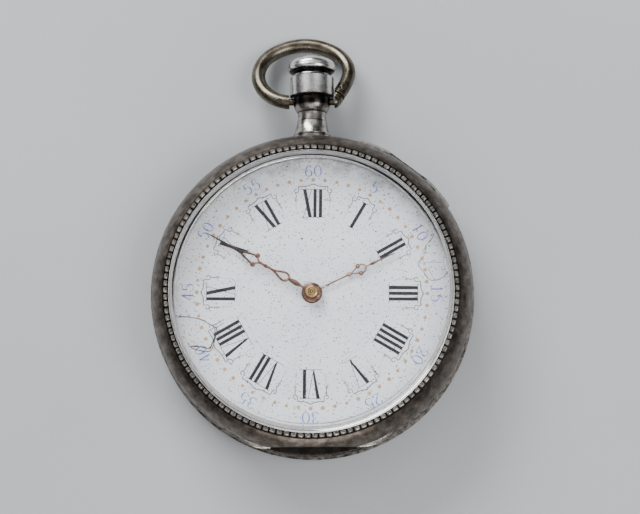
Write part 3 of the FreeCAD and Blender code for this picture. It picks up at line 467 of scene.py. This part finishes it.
def neck_silver():
    f = metal("worn_neck_silver", (0.09, 0.07, 0.06), (0.36, 0.33, 0.30), (0.60, 0.57, 0.53),
              (0.16, 0.3), 1.0, 0.12, 0.003)
    along = f.upward()
    shade = f.span(along, 29.5, 30.1)
    for step in (25.15, 27.5, 28.9):
        shade = f.most(shade, f.times(f.line(along, step, 0.12, 0.04), 0.8))
    return f.colour(f.mix(shade, f.tone, (0.02, 0.017, 0.014)))


def gilt():
    f = metal("tarnished_gilt", (0.07, 0.035, 0.028), (0.22, 0.12, 0.085), (0.46, 0.28, 0.19),
              (0.28, 0.5), 0.9, 0.08, 0.004)
    radius, height = f.radius(), f.height()
    # painted highlight on the tops of the hour hand's raised balls, and the tips have gone dark
    top = f.times(f.span(height, 9.25, 9.29), f.span(height, 9.45, 9.40))
    tone = f.mix(f.times(top, 0.85), f.tone, (0.86, 0.64, 0.36))
    return f.colour(f.mix(f.times(f.span(radius, 9.5, 12.5), 0.85), tone, (0.045, 0.04, 0.042)))


def glass():
    """Clear glass that lets the light through to the dial."""
    f = Finish("clear_crystal", 0.0, 0.02, (1, 1, 1), IOR=1.5, Transmission_Weight=1.0)
    f.rough(f.span(f.noise(4.0, 3, 0.5), 0.3, 0.8, 0.0, 0.03))
    path = f.new("ShaderNodeLightPath")
    clear = f.new("ShaderNodeBsdfTransparent")
    choose = f.new("ShaderNodeMixShader")
    f.join(path.outputs["Is Shadow Ray"], choose.inputs[0])
    f.join(f.shader.outputs[0], choose.inputs[1])
    f.join(clear.outputs[0], choose.inputs[2])
    f.join(choose.outputs[0], f.tree.nodes["Material Output"].inputs["Surface"])
    return f


def ink(name, tone, pale, share, size=0.12):
    """Print or dirt with pale flecks worn into it."""
    f = Finish(name, 0.0, 0.35, tone, Coat_Weight=0.4)
    flecks = f.span(f.noise(size, 4, 0.7), 0.55, 0.68, 0.0, share)
    return f.colour(f.mix(flecks, tone, pale)).material


def ruby():
    f = Finish("ruby", 0.0, 0.08, (0.35, 0.01, 0.03), IOR=1.76, Coat_Weight=1.0)
    return f.colour(f.ramp(f.noise(0.4, 3), [(0.3, (0.30, 0.006, 0.025)), (0.7, (0.50, 0.02, 0.06))]))


SILVER = case_silver().material
BEAD = bead_silver().material
# a lighter silver for the thumb lips: a painted highlight
LIP_SHEEN_SILVER = metal("lip_sheen_silver", (0.26, 0.24, 0.21), (0.46, 0.43, 0.38), (0.66, 0.63, 0.57),
                      (0.2, 0.36), 0.8).material
NICKEL = metal("satin_nickel", (0.075, 0.060, 0.042), (0.14, 0.12, 0.088), (0.22, 0.195, 0.15),
               (0.24, 0.34), 2.2, 0.12).material
CROWN = crown_steel().material
NECK = neck_silver().material
ENAMEL = enamel().material
GILT = gilt().material
CAP = cap_brass().material
GLASS = glass().material
BRASS = metal("frosted_gilt_brass", (0.50, 0.33, 0.12), (0.68, 0.48, 0.20), (0.80, 0.60, 0.30),
              (0.3, 0.45), 2.5, 0.07, 0.006, False).material
WHEEL = metal("polished_brass", (0.50, 0.34, 0.13), (0.72, 0.52, 0.22), (0.84, 0.65, 0.34),
              (0.16, 0.3), 1.5, 0.1, 0.002).material
STEEL = metal("bright_steel", (0.40, 0.40, 0.41), (0.56, 0.56, 0.57), (0.70, 0.70, 0.71),
              (0.14, 0.28), 1.5, 0.1, 0.002).material
BLUED = metal("blued_steel", (0.012, 0.022, 0.10), (0.02, 0.045, 0.22), (0.05, 0.10, 0.38),
              (0.14, 0.28), 1.2, 0.08, 0.002).material
RUBY = ruby().material
INK_BLACK = ink("black_print", (0.004, 0.004, 0.006), (0.22, 0.22, 0.23), 0.35)
INK_BLUE = ink("blue_print", (0.075, 0.15, 0.46), (0.42, 0.48, 0.66), 0.45)
INK_GREY = ink("blue_grey_line", (0.055, 0.060, 0.085), (0.38, 0.39, 0.43), 0.6, 0.25)
INK_GOLD = ink("gold_print", (0.46, 0.29, 0.155), (0.62, 0.54, 0.48), 0.7, 0.5)
SOOT = ink("black_dirt", (0.012, 0.010, 0.008), (0.05, 0.04, 0.03), 0.5, 0.2)
CRACK = ink("crack_dirt", (0.010, 0.010, 0.008), (0.25, 0.25, 0.24), 0.5, 0.3)
CRACK_PALE = ink("pale_crack", (0.16, 0.17, 0.14), (0.6, 0.6, 0.58), 0.8, 0.4)

LOOKS = {
    SILVER: "case_middle bezel back_cover cuvette hinge_pins",
    NECK: "pendant_neck",
    NICKEL: "bow",
    CROWN: "crown",
    GLASS: "crystal",
    ENAMEL: "dial",
    CAP: "hand_cap",
    GILT: "hour_hand minute_hand",
    BRASS: "barrel_drum barrel_lid balance_cock barrel_bridge train_bridge pallet_bridge main_plate"
           " dial_feet",
    WHEEL: "centre_wheel third_wheel fourth_wheel balance_wheel balance_screws minute_wheel hour_wheel",
    STEEL: "stem stem_sleeve winding_pinion clutch_wheel setting_lever yoke yoke_spring lever_studs"
           " setting_wheel motion_posts crown_wheel crown_wheel_core ratchet_wheel click click_spring"
           " barrel_arbor mainspring cannon_pinion escape_wheel pallet_fork hairspring_stud regulator"
           " regulator_cap",
    BLUED: "hairspring ratchet_screw click_screw bridge_screws cock_screw case_screws",
    RUBY: "pallet_stones bridge_jewels plate_jewels",
}
for look, names in LOOKS.items():
    for node in names.split():
        for holder in NODES[node].material_slots:
            holder.material = look


# ---------------------------------------------------------------- bezel

def pad(shape, angle, radius, wide, deep, z0, top):
    """A rounded rectangular pad with a dished middle."""
    def ring(fw, fd, z, corner=0.45):
        out = []
        for k in range(16):
            a = 2 * math.pi * (k + 0.5) / 16
            c, s = math.cos(a), math.sin(a)
            u = math.copysign(abs(c) ** corner, c) * wide / 2 * fw
            r = math.copysign(abs(s) ** corner, s) * deep / 2 * fd
            out.append(at(angle, u, radius + r, z))
        return out
    high = top - z0
    shape.loft([ring(1, 1, z0), ring(1, 1, z0 + high * 0.55), ring(0.93, 0.90, z0 + high * 0.85),
                ring(0.80, 0.74, top), ring(0.62, 0.52, top - 0.015), ring(0.40, 0.30, top - 0.07, 0.7),
                ring(0.14, 0.10, top - 0.09, 1.0)])


beads = Shape()
dice = random.Random(7)
for i in range(BEADS):
    lift = dice.uniform(-0.02, 0.02)
    pad(beads, (i + 0.5) * 360 / BEADS, BEAD_R + dice.uniform(-0.015, 0.015), 0.88, 0.60,
        BEZEL_TOP - 0.15, BEZEL_TOP + 0.20 + lift)
beads.piece("bezel_beads", "bezel_body", "case_silver", [BEAD], 50)

# fine ribs round the edge, each one degree wide
RIB = [(24.30, 9.46), (24.46, 9.50), (24.52, 9.60), (24.48, 9.86), (24.36, 10.05), (24.24, 10.05)]
RIB_STEPS = ((-0.36, -0.06), (-0.2, -0.01), (0.0, 0.0), (0.2, -0.01), (0.36, -0.06))
ribs = Shape()
for i in range(360):
    angle = i + 0.5
    if HINGE_LIP[0] < angle < HINGE_LIP[1] or NAIL_LIP[0] < angle < NAIL_LIP[1]:
        continue
    ribs.loft([[at(angle + step, 0, r + push, z) for r, z in RIB] for step, push in RIB_STEPS])
ribs.piece("bezel_reeding", "bezel_body", "case_silver", [SILVER], 50)

# two leaf-shaped lips at the ends of the straight edge, for a thumbnail
LIP_R = 24.3
LIP = [(-0.1, 9.46), (0.55, 9.48), (0.66, 9.58), (0.58, 9.70), (0.25, 9.80), (-0.1, 9.84)]
LIP_STEPS = 18
lips = Shape()
for first, last in ((150.0, 164.0), (195.0, 207.0)):
    rings = []
    for i in range(LIP_STEPS + 1):
        t = i / LIP_STEPS
        full = math.sin(math.pi * min(max(t, 0.04), 0.96)) ** 0.7
        rings.append([at(first + (last - first) * t, 0, LIP_R + r * full, z) for r, z in LIP])
    lips.loft(rings)
lips.piece("thumb_lips", "bezel_body", "case_silver", [LIP_SHEEN_SILVER], 50)


# ---------------------------------------------------------------- dial printing

PRINT_LOW = DIAL_Z - 0.008
PRINT_TOP = DIAL_Z + 0.012


def on_dial(angle):
    """Places local (across, out) points at an angle on the dial."""
    return lambda u, r: at(angle + DIAL_TURN, u, r)[:2]


def printed(shape, points, width, place=None):
    stroke(shape, points, width, PRINT_LOW, PRINT_TOP, place=place)


def spot(shape, centre, radius, corners, top=PRINT_TOP):
    """A flat dot."""
    plate(shape, circle(centre, radius, corners), PRINT_LOW, top)


# Roman numerals: bar and hairline widths, and the radii of their tops and feet
BAR = 0.50
HAIR = 0.075
TOP_R, FOOT_R = 16.12, 11.74
FRAME_LINE = 0.13
CURL_LINE = 0.11


def glyph(shape, outline, u, place):
    """The flat body of a numeral from points across and out."""
    plate(shape, [(u + x, r) for x, r in outline], PRINT_LOW, PRINT_TOP, place=place)


def roman_i(shape, u, place):
    half = BAR / 2
    glyph(shape, [(-half, FOOT_R), (half, FOOT_R), (half, TOP_R), (-half, TOP_R)], u, place)


def roman_v(shape, u, place):
    outline = [(-0.98, TOP_R), (-0.44, TOP_R), (0.12, FOOT_R + 0.55), (0.05, FOOT_R), (-0.06, FOOT_R)]
    glyph(shape, outline, u, place)
    printed(shape, [(u + 0.02, FOOT_R + 0.05), (u + 0.80, TOP_R)], HAIR, place)


def roman_x(shape, u, place):
    glyph(shape, [(-0.72, TOP_R), (-0.18, TOP_R), (0.72, FOOT_R), (0.18, FOOT_R)], u, place)
    printed(shape, [(u - 0.60, FOOT_R), (u + 0.62, TOP_R)], HAIR, place)


# each numeral: the glyphs with their places across, its half width, and its frame's half width
NUMERALS = {
    1: ([("I", 0.0)], 0.45, 1.45),
    2: ([("I", -0.435), ("I", 0.435)], 0.85, 1.6),
    3: ([("I", -0.87), ("I", 0.0), ("I", 0.87)], 1.3, 1.85),
    4: ([("I", -1.305), ("I", -0.435), ("I", 0.435), ("I", 1.305)], 1.75, 2.2),
    5: ([("V", 0.05)], 1.0, 2.0),
    6: ([("V", -0.40), ("I", 0.98)], 1.4, 2.0),
    7: ([("V", -0.85), ("I", 0.48), ("I", 1.33)], 1.8, 2.45),
    8: ([("V", -1.28), ("I", 0.02), ("I", 0.87), ("I", 1.72)], 2.25, 2.7),
    9: ([("I", -1.0), ("X", 0.30)], 1.3, 1.95),
    10: ([("X", 0.0)], 0.85, 1.75),
    11: ([("X", -0.42), ("I", 0.80)], 1.3, 2.0),
    12: ([("X", -0.85), ("I", 0.32), ("I", 1.18)], 1.6, 2.25),
}
GLYPHS = {"I": roman_i, "V": roman_v, "X": roman_x}

# a small flower of dots: across, out, and radius
FLEURON = ((0, 0.0, 0.15), (-0.17, 0.06, 0.10), (0.17, 0.06, 0.10), (0, 0.24, 0.10),
           (0, -0.22, 0.08))
numerals = Shape()
frames = Shape()
fleurons = Shape()
for hour, (glyphs, half, wide) in NUMERALS.items():
    place = on_dial(30 * hour)
    for kind, u in glyphs:
        GLYPHS[kind](numerals, u, place)
    reach = half + 0.08
    for r, bend in ((TOP_R, 0.12), (FOOT_R, -0.10)):
        serif = [(-reach - 0.10, r + bend), (-reach, r), (-reach * 0.5, r), (0, r), (reach * 0.5, r),
                 (reach, r), (reach + 0.10, r + bend)]
        printed(numerals, smooth_line(serif, 3), HAIR, place)
    # the scrolled frame: a rise to a peak, a curl at each corner, a stem, and dots down the sides
    roof = [(-wide, 16.58), (-wide * 0.62, 16.56), (-wide * 0.3, 16.70), (0, 16.92),
            (wide * 0.3, 16.70), (wide * 0.62, 16.56), (wide, 16.58)]
    printed(frames, smooth_line(roof, 5), FRAME_LINE, place)
    edge = wide + 0.38
    for side in (-1, 1):
        curl = [(side * wide, 16.58), (side * (wide + 0.04), 16.30)]
        for k in range(11):
            a = math.radians(150 + 32 * k)
            r = 0.42 - 0.022 * k
            curl.append((side * (edge + r * math.cos(a)), 15.92 + r * math.sin(a)))
        printed(frames, smooth_line(curl, 3), CURL_LINE, place)
        stem = [(side * (edge + 0.1), 15.50), (side * (edge - 0.06), 15.10),
                (side * (edge + 0.02), 14.60)]
        printed(frames, smooth_line(stem, 4), CURL_LINE, place)
        for k in range(7):
            spot(frames, place(side * (edge - 0.02 - 0.03 * k), 14.05 - 0.29 * k), 0.06, 6)
        for du, dr, size in FLEURON:
            spot(fleurons, place(side * edge + du, 14.36 + dr), size, 10)
    count = max(5, round(2 * wide / 0.33))
    for k in range(count):
        u = (k / (count - 1) * 2 - 1) * (wide + 0.05)
        spot(frames, place(u, 11.05 - 0.25 * (1 - (u / wide) ** 2)), 0.055, 6)
    printed(fleurons, [place(-0.16, 17.0), place(0.16, 17.0)], 0.10)
numerals.piece("roman_numerals", "case", "dial_enamel", [INK_BLACK])
frames.piece("numeral_frames", "case", "dial_enamel", [INK_GREY])
fleurons.piece("frame_fleurons", "case", "dial_enamel", [INK_GOLD])

DOT_R = 17.6
dots = Shape()
for minute in range(60):
    centre = at(6 * minute + DIAL_TURN, 0, DOT_R)[:2]
    spot(dots, centre, 0.28 + dice.uniform(-0.04, 0.03), 16, PRINT_TOP + 0.01)
dots.piece("minute_dots", "case", "dial_enamel", [INK_GOLD])

# strokes of each digit in a unit box: closed or not, and the points
DIGITS = {
    "0": [(True, [(0.5, 1.0), (0.15, 0.78), (0.08, 0.5), (0.15, 0.22), (0.5, 0.0), (0.85, 0.22),
                  (0.92, 0.5), (0.85, 0.78)])],
    "1": [(False, [(0.5, 0.0), (0.5, 0.5), (0.5, 1.0)]),
          (False, [(0.5, 1.0), (0.36, 0.86), (0.22, 0.82)]),
          (False, [(0.2, 0.02), (0.8, 0.02)])],
    "2": [(False, [(0.14, 0.74), (0.26, 0.94), (0.55, 1.0), (0.84, 0.86), (0.84, 0.62),
                   (0.5, 0.32), (0.1, 0.04)]),
          (False, [(0.1, 0.04), (0.5, 0.03), (0.88, 0.03), (0.93, 0.22)])],
    "3": [(False, [(0.14, 0.82), (0.32, 0.98), (0.62, 0.98), (0.80, 0.78), (0.66, 0.58), (0.4, 0.53)]),
          (False, [(0.4, 0.53), (0.72, 0.48), (0.90, 0.26), (0.72, 0.04), (0.38, 0.0), (0.12, 0.16)])],
    "4": [(False, [(0.66, 0.0), (0.66, 0.5), (0.66, 1.0)]),
          (False, [(0.66, 1.0), (0.36, 0.62), (0.06, 0.28)]),
          (False, [(0.06, 0.28), (0.5, 0.28), (0.95, 0.28)]),
          (False, [(0.45, 0.02), (0.87, 0.02)])],
    "5": [(False, [(0.80, 0.97), (0.5, 0.97), (0.26, 0.97)]),
          (False, [(0.26, 0.97), (0.22, 0.75), (0.18, 0.54)]),
          (False, [(0.18, 0.54), (0.42, 0.64), (0.72, 0.58), (0.90, 0.32), (0.72, 0.05),
                   (0.4, 0.0), (0.12, 0.14)])],
    "6": [(False, [(0.80, 0.86), (0.60, 1.0), (0.32, 0.88), (0.12, 0.5), (0.16, 0.18), (0.45, 0.0),
                   (0.78, 0.08), (0.90, 0.32), (0.74, 0.54), (0.46, 0.58), (0.2, 0.42)])],
}
DIGIT_WIDE, DIGIT_HIGH, DIGIT_GAP = 1.18, 1.75, 0.24
DIGIT_FOOT_R = 18.13
DIGIT_THIN, DIGIT_THICK = 0.075, 0.20


def digit(shape, kind, u0, r0, place):
    """One numeral with thick uprights and thin cross strokes."""
    for closed, points in DIGITS[kind]:
        spread = [(u0 + x * DIGIT_WIDE, r0 + y * DIGIT_HIGH) for x, y in points]
        line = smooth_line(spread, 6, closed)
        widths = []
        for i, p in enumerate(line):
            a = line[(i - 1) % len(line)] if closed or i else p
            b = line[(i + 1) % len(line)] if closed or i < len(line) - 1 else p
            d = Vector((b[0] - a[0], b[1] - a[1]))
            upright = abs(d.y) / max(d.length, 1e-9)
            widths.append(DIGIT_THIN + (DIGIT_THICK - DIGIT_THIN) * upright ** 3)
        stroke(shape, line, widths, PRINT_LOW, PRINT_TOP, closed=closed, place=place)


minutes = Shape()
for mark in range(1, 13):
    text = str(5 * mark)
    full = len(text) * DIGIT_WIDE + (len(text) - 1) * DIGIT_GAP
    for i, kind in enumerate(text):
        u = -full / 2 + i * (DIGIT_WIDE + DIGIT_GAP)
        digit(minutes, kind, u, DIGIT_FOOT_R, on_dial(30 * mark))
minutes.piece("minute_numbers", "case", "dial_enamel", [INK_BLUE])

# cracks in the enamel, filled with dirt: the line, its width, and 1 for a pale one
CRACKS = [
    ([(-20.6, -3.45), (-20.04, -3.5), (-18.45, -3.63), (-16.68, -4.06), (-15.62, -4.67),
      (-14.55, -5.37), (-14.78, -6.95), (-15.36, -8.71), (-17.11, -8.72), (-18.34, -8.21),
      (-18.89, -7.51)], 0.15, 0),
    ([(-14.55, -5.19), (-13.34, -4.48)], 0.09, 0),
    ([(18.72, 8.74), (17.56, 7.21), (17.06, 5.36), (16.23, 4.43), (17.06, 3.01), (17.88, 1.93),
      (19.04, 1.85), (20.19, 2.36), (20.44, 3.03)], 0.11, 0),
    ([(16.23, 4.52), (18.0, 4.56), (19.87, 4.53)], 0.08, 1),
    ([(17.72, 3.85), (18.21, 2.68), (18.71, 1.85)], 0.10, 1),
]
RIM_CRACKS = [
    (240, [(2.0, 20.2), (1.6, 19.3), (0.8, 18.4), (0.3, 17.6), (0.9, 16.8), (1.6, 16.0), (2.8, 15.4)],
     0.20, 0),
    (60, [(1.8, 20.3), (2.1, 19.2), (2.5, 18.3), (3.2, 17.5)], 0.09, 1),
]


def crack(shape, line, width, kind):
    """A ragged line of uneven width."""
    jolt = [(x + dice.uniform(-0.04, 0.04), y + dice.uniform(-0.04, 0.04)) for x, y in line]
    widths = [width * dice.uniform(0.5, 1.2) for _ in jolt]
    stroke(shape, jolt, widths, PRINT_LOW, PRINT_TOP + 0.004, kind)


cracks = Shape()
for points, width, kind in CRACKS:
    crack(cracks, smooth_line(points, 6), width, kind)
for angle, points, width, kind in RIM_CRACKS:
    place = on_dial(angle)
    crack(cracks, [place(u, r) for u, r in smooth_line(points, 5)], width, kind)
cracks.piece("enamel_cracks", "case", "dial_enamel", [CRACK, CRACK_PALE])

SPECKS = 1000
SPECKED_R = 20.6
DARK_SHARE = 0.75
specks = Shape()
for _ in range(SPECKS):
    r = SPECKED_R * math.sqrt(dice.random())
    a = dice.uniform(0, 360)
    x, y = at(a, 0, r)[:2]
    size = 0.045 + 0.075 * dice.random() ** 3
    turn = dice.uniform(0, 6)
    outline = [(x + size * dice.uniform(0.7, 1.2) * math.cos(turn + k * math.pi / 3),
                y + size * dice.uniform(0.7, 1.2) * math.sin(turn + k * math.pi / 3)) for k in range(6)]
    plate(specks, outline, PRINT_LOW, PRINT_TOP + 0.002, 0 if dice.random() < DARK_SHARE else 1)
button(specks, (-1.5, 8.39), 0.16, PRINT_LOW, 0.04, steps=12, rings=2)
specks.piece("enamel_specks", "case", "dial_enamel", [CRACK, CRACK_PALE])


# ---------------------------------------------------------------- hands

def hand(name, node, body, angle, bed, parts):
    """A cast hand in place of its plain CAD hand.

    Its parts are balls (along, across, radius, height) and strokes (points, widths, height).
    Points are (along, across) from the centre, and a loop is a stroke that closes on itself.
    """
    shape = Shape()

    def place(u, r):
        return at(angle, u, r)[:2]

    for kind, *facts in parts:
        if kind == "ball":
            r, u, size, tall = facts
            button(shape, place(u, r), size, bed, tall)
        else:
            points, widths, tall = facts
            closed = kind == "loop"
            line = smooth_line([(u, r) for r, u in points], 5, closed)
            spread = smooth_line([(w, 0) for w in widths], 5, closed)
            dome_stroke(shape, line, [w for w, _ in spread], bed, tall, closed, place)
    o = shape.piece(name, body, "hand_gilt", [GILT], 40)
    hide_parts(node)


def boss(outer):
    """The hand's round seat, as a loop of wide stroke."""
    return "loop", circle((0, 0), outer * 0.62, 12), [outer * 0.74] * 12, 0.16


def both(points, widths, height):
    """A stroke and its mirror image across the hand."""
    return [("line", [(r, side * u) for r, u in points], widths, height) for side in (1, -1)]


MINUTE = [
    boss(1.45),
    ("line", [(1.25, 0), (1.7, 0), (2.1, 0)], [0.70, 0.34, 0.30], 0.16),
    ("line", [(1.9, 0), (2.4, 0), (2.9, 0), (3.5, 0), (4.15, 0)], [0.34, 0.66, 0.82, 0.60, 0.32], 0.26),
    ("loop", [(4.1, 0), (4.25, 0.42), (4.75, 0.62), (5.4, 0.50), (6.1, 0.22), (6.75, 0.0),
              (6.1, -0.22), (5.4, -0.50), (4.75, -0.62), (4.25, -0.42)], [0.34] * 10, 0.14),
    ("line", [(6.6, 0), (7.3, 0), (8.0, 0), (8.7, 0), (9.2, 0)], [0.36, 0.36, 0.44, 0.36, 0.32], 0.15),
    ("ball", 8.0, 0, 0.30, 0.24),
    *both([(9.1, 0), (9.5, 0.22), (9.95, 0.74)], [0.32, 0.30, 0.32], 0.14),
    ("ball", 9.95, 0.76, 0.42, 0.26),
    ("ball", 9.95, -0.76, 0.42, 0.26),
    *both([(9.95, 0.76), (10.7, 0.62), (11.6, 0.36), (12.57, 0.0)],
          [0.34, 0.31, 0.30, 0.32], 0.14),
    ("line", [(12.3, 0), (12.9, 0), (14.5, 0), (16.4, 0), (18.4, 0)],
     [0.40, 0.42, 0.36, 0.26, 0.10], 0.15),
]
HOUR = [
    boss(1.5),
    ("line", [(1.3, 0), (1.7, 0), (2.8, 0), (4.2, 0), (5.6, 0), (6.4, 0)],
     [0.44, 0.34, 0.26, 0.24, 0.24, 0.28], 0.15),
    ("ball", 6.35, 0, 0.36, 0.26),
    *both([(6.5, 0), (7.0, 0.16), (7.5, 0.34), (8.0, 0.58)], [0.24, 0.20, 0.20, 0.22], 0.13),
    ("ball", 8.05, 0.60, 0.35, 0.26),
    ("ball", 8.05, -0.60, 0.35, 0.26),
    *both([(8.05, 0.60), (8.6, 0.62), (9.0, 0.36), (9.2, 0)], [0.24, 0.22, 0.22, 0.22], 0.13),
    ("line", [(9.1, 0), (9.5, 0), (9.9, 0)], [0.22, 0.16, 0.20], 0.13),
    ("line", [(9.8, 0), (10.2, 0), (10.5, 0), (10.9, 0)], [0.20, 0.42, 0.46, 0.30], 0.18),
    ("line", [(10.8, 0), (11.6, 0), (12.6, 0), (14.0, 0)], [0.30, 0.28, 0.20, 0.09], 0.14),
]
hand("gilt_hour_hand", "hour_hand", "hour_body", HOUR_AT, HOUR_BED, HOUR)
hand("gilt_minute_hand", "minute_hand", "centre_body", MINUTE_AT, MINUTE_BED, MINUTE)

RING_LOW, RING_SIDE, RING_CREST = 10.20, 10.30, 10.34
rings = Shape()
for radius, thick, rise in ((0.93, 0.10, 0.05), (0.62, 0.09, 0.06), (0.34, 0.08, 0.06)):
    inner, outer = radius - thick / 2, radius + thick / 2
    turned(rings, [(inner, RING_LOW), (outer, RING_LOW), (outer, RING_SIDE + rise),
                   (radius, RING_CREST + rise), (inner, RING_SIDE + rise)], 48)
button(rings, (0, 0), 0.14, RING_SIDE, 0.13)
rings.piece("cap_rings", "centre_body", "hand_gilt", [CAP], 50)


# ---------------------------------------------------------------- blank marks

def on_bow(x, up):
    """A point on the bow's own plane, let down to where the bow rests."""
    a = math.radians(BOW_DROOP)
    return Vector((x, BOW_Y + up * math.cos(a), BOW_Z - up * math.sin(a)))


def cartouche(shape, x, up, turn, long, wide):
    """A sunk oval with a thin rim, laid over the round wire. Nothing is stamped in it."""
    c, d = math.cos(math.radians(turn)), math.sin(math.radians(turn))
    middle = on_bow(x, up)
    along = (on_bow(x + c, up + d) - middle).normalized()
    outward = Vector(MARK_FACING)
    outward = (outward - along * outward.dot(along)).normalized()
    across = along.cross(outward)
    rim = ((1.0, -0.25), (1.0, 0.10), (0.86, 0.13), (0.74, 0.06))
    bed = ((0.78, -0.2), (0.74, 0.085))
    for slot, form in ((0, rim), (1, bed)):
        loops = []
        for grow, lift in form:
            loop = []
            for s, t in circle((0, 0), 1, 28):
                u, v = long * grow * s, wide * grow * t
                high = math.sqrt(BOW_WIRE ** 2 - v * v) + lift
                loop.append(middle + along * u + across * v + outward * high)
            loops.append(loop)
        shape.loft(loops, slot)


marks = Shape()
for x, up, turn in ((-4.9, 0.30, -17), (4.7, 2.4, 62)):
    cartouche(marks, x, up, turn, 0.62, 0.40)
marks.piece("bow_marks", "bow_body", "bow_nickel", [NICKEL, SOOT], 40)

# a worn oval on the front of the crown's barrel
CROWN_MARK = (-0.5, 33.45)
blank = Shape()
loops = []
for grow, lift in ((1.0, -0.3), (1.0, 0.012), (0.8, 0.02), (0.55, 0.004)):
    loop = []
    for s, t in circle((0, 0), 1, 24):
        x, y = CROWN_MARK[0] + 0.27 * grow * s, CROWN_MARK[1] + 0.36 * grow * t
        loop.append((x, y, BOW_Z + math.sqrt(CROWN_R ** 2 - x * x) + lift))
    loops.append(loop)
blank.loft(loops)
blank.piece("crown_mark", "crown_body", "crown_steel", [CROWN], 40)


# ---------------------------------------------------------------- surroundings

def backdrop():
    f = Finish("pale_floor", 0.0, 0.85, (0.56, 0.575, 0.585))
    tone = f.ramp(f.noise(60, 3, 0.5), [(0.3, (0.54, 0.558, 0.570)), (0.7, (0.585, 0.60, 0.61))])
    f.colour(tone).bump(f.noise(0.25, 2, 0.5), 0.03)
    return f.material


FLOOR_HALF, FLOOR_Z = 900, -0.02
corners = [(-1, -1), (1, -1), (1, 1), (-1, 1)]
mesh = bpy.data.meshes.new("floor")
mesh.from_pydata([(x * FLOOR_HALF * MM, y * FLOOR_HALF * MM, FLOOR_Z * MM) for x, y in corners],
                 [], [(0, 1, 2, 3)])
mesh.materials.append(backdrop())
floor = bpy.data.objects.new("floor", mesh)
bpy.context.scene.collection.objects.link(floor)


def softbox(name, place, aim, size, power, colour):
    lamp = bpy.data.lights.new(name, "AREA")
    lamp.shape = "RECTANGLE"
    lamp.size, lamp.size_y = size[0] * MM, size[1] * MM
    lamp.energy = power
    lamp.color = colour
    o = bpy.data.objects.new(name, lamp)
    o.location = Vector(place) * MM
    o.rotation_euler = (Vector(aim) - Vector(place)).to_track_quat("-Z", "Y").to_euler()
    bpy.context.scene.collection.objects.link(o)


softbox("window", (-170, 330, 250), (0, 0, 8), (300, 170), 2.15, (0.96, 0.975, 1.0))
softbox("fill", (230, -60, 330), (0, 0, 8), (200, 200), 0.62, (0.96, 0.975, 1.0))
softbox("low", (0, -340, 130), (0, -10, 8), (260, 110), 0.42, (1.0, 0.985, 0.96))

world = bpy.data.worlds.new("studio")
world.use_nodes = True
sky = world.node_tree
coords = sky.nodes.new("ShaderNodeTexCoord")
axis = sky.nodes.new("ShaderNodeSeparateXYZ")
fade = sky.nodes.new("ShaderNodeValToRGB")
# brightness by height: dark at the horizon, brightest well up,
# and dim overhead, where the crystal mirrors it
SKY = ((0.0, 0.05), (0.45, 0.10), (0.62, 0.24), (0.78, 0.80), (0.90, 1.15), (0.955, 0.22), (1.0, 0.16))
while len(fade.color_ramp.elements) < len(SKY):
    fade.color_ramp.elements.new(0.5)
for element, (place, level) in zip(fade.color_ramp.elements, SKY):
    element.position = place
    element.color = (level * 0.985, level, level * 1.02, 1)
sky.links.new(coords.outputs["Generated"], axis.inputs[0])
sky.links.new(axis.outputs["Z"], fade.inputs["Fac"])
sky.links.new(fade.outputs["Color"], sky.nodes["Background"].inputs["Color"])
sky.nodes["Background"].inputs["Strength"].default_value = 1.0
bpy.context.scene.world = world

camera = bpy.data.cameras.new("camera")
camera.lens = 90
camera.sensor_width = 36
camera.clip_start = 0.01
view = bpy.data.objects.new("camera", camera)
view.location = Vector(CAMERA_AT) * MM
view.rotation_euler = CAMERA_TURN
bpy.context.scene.collection.objects.link(view)
bpy.context.scene.camera = view
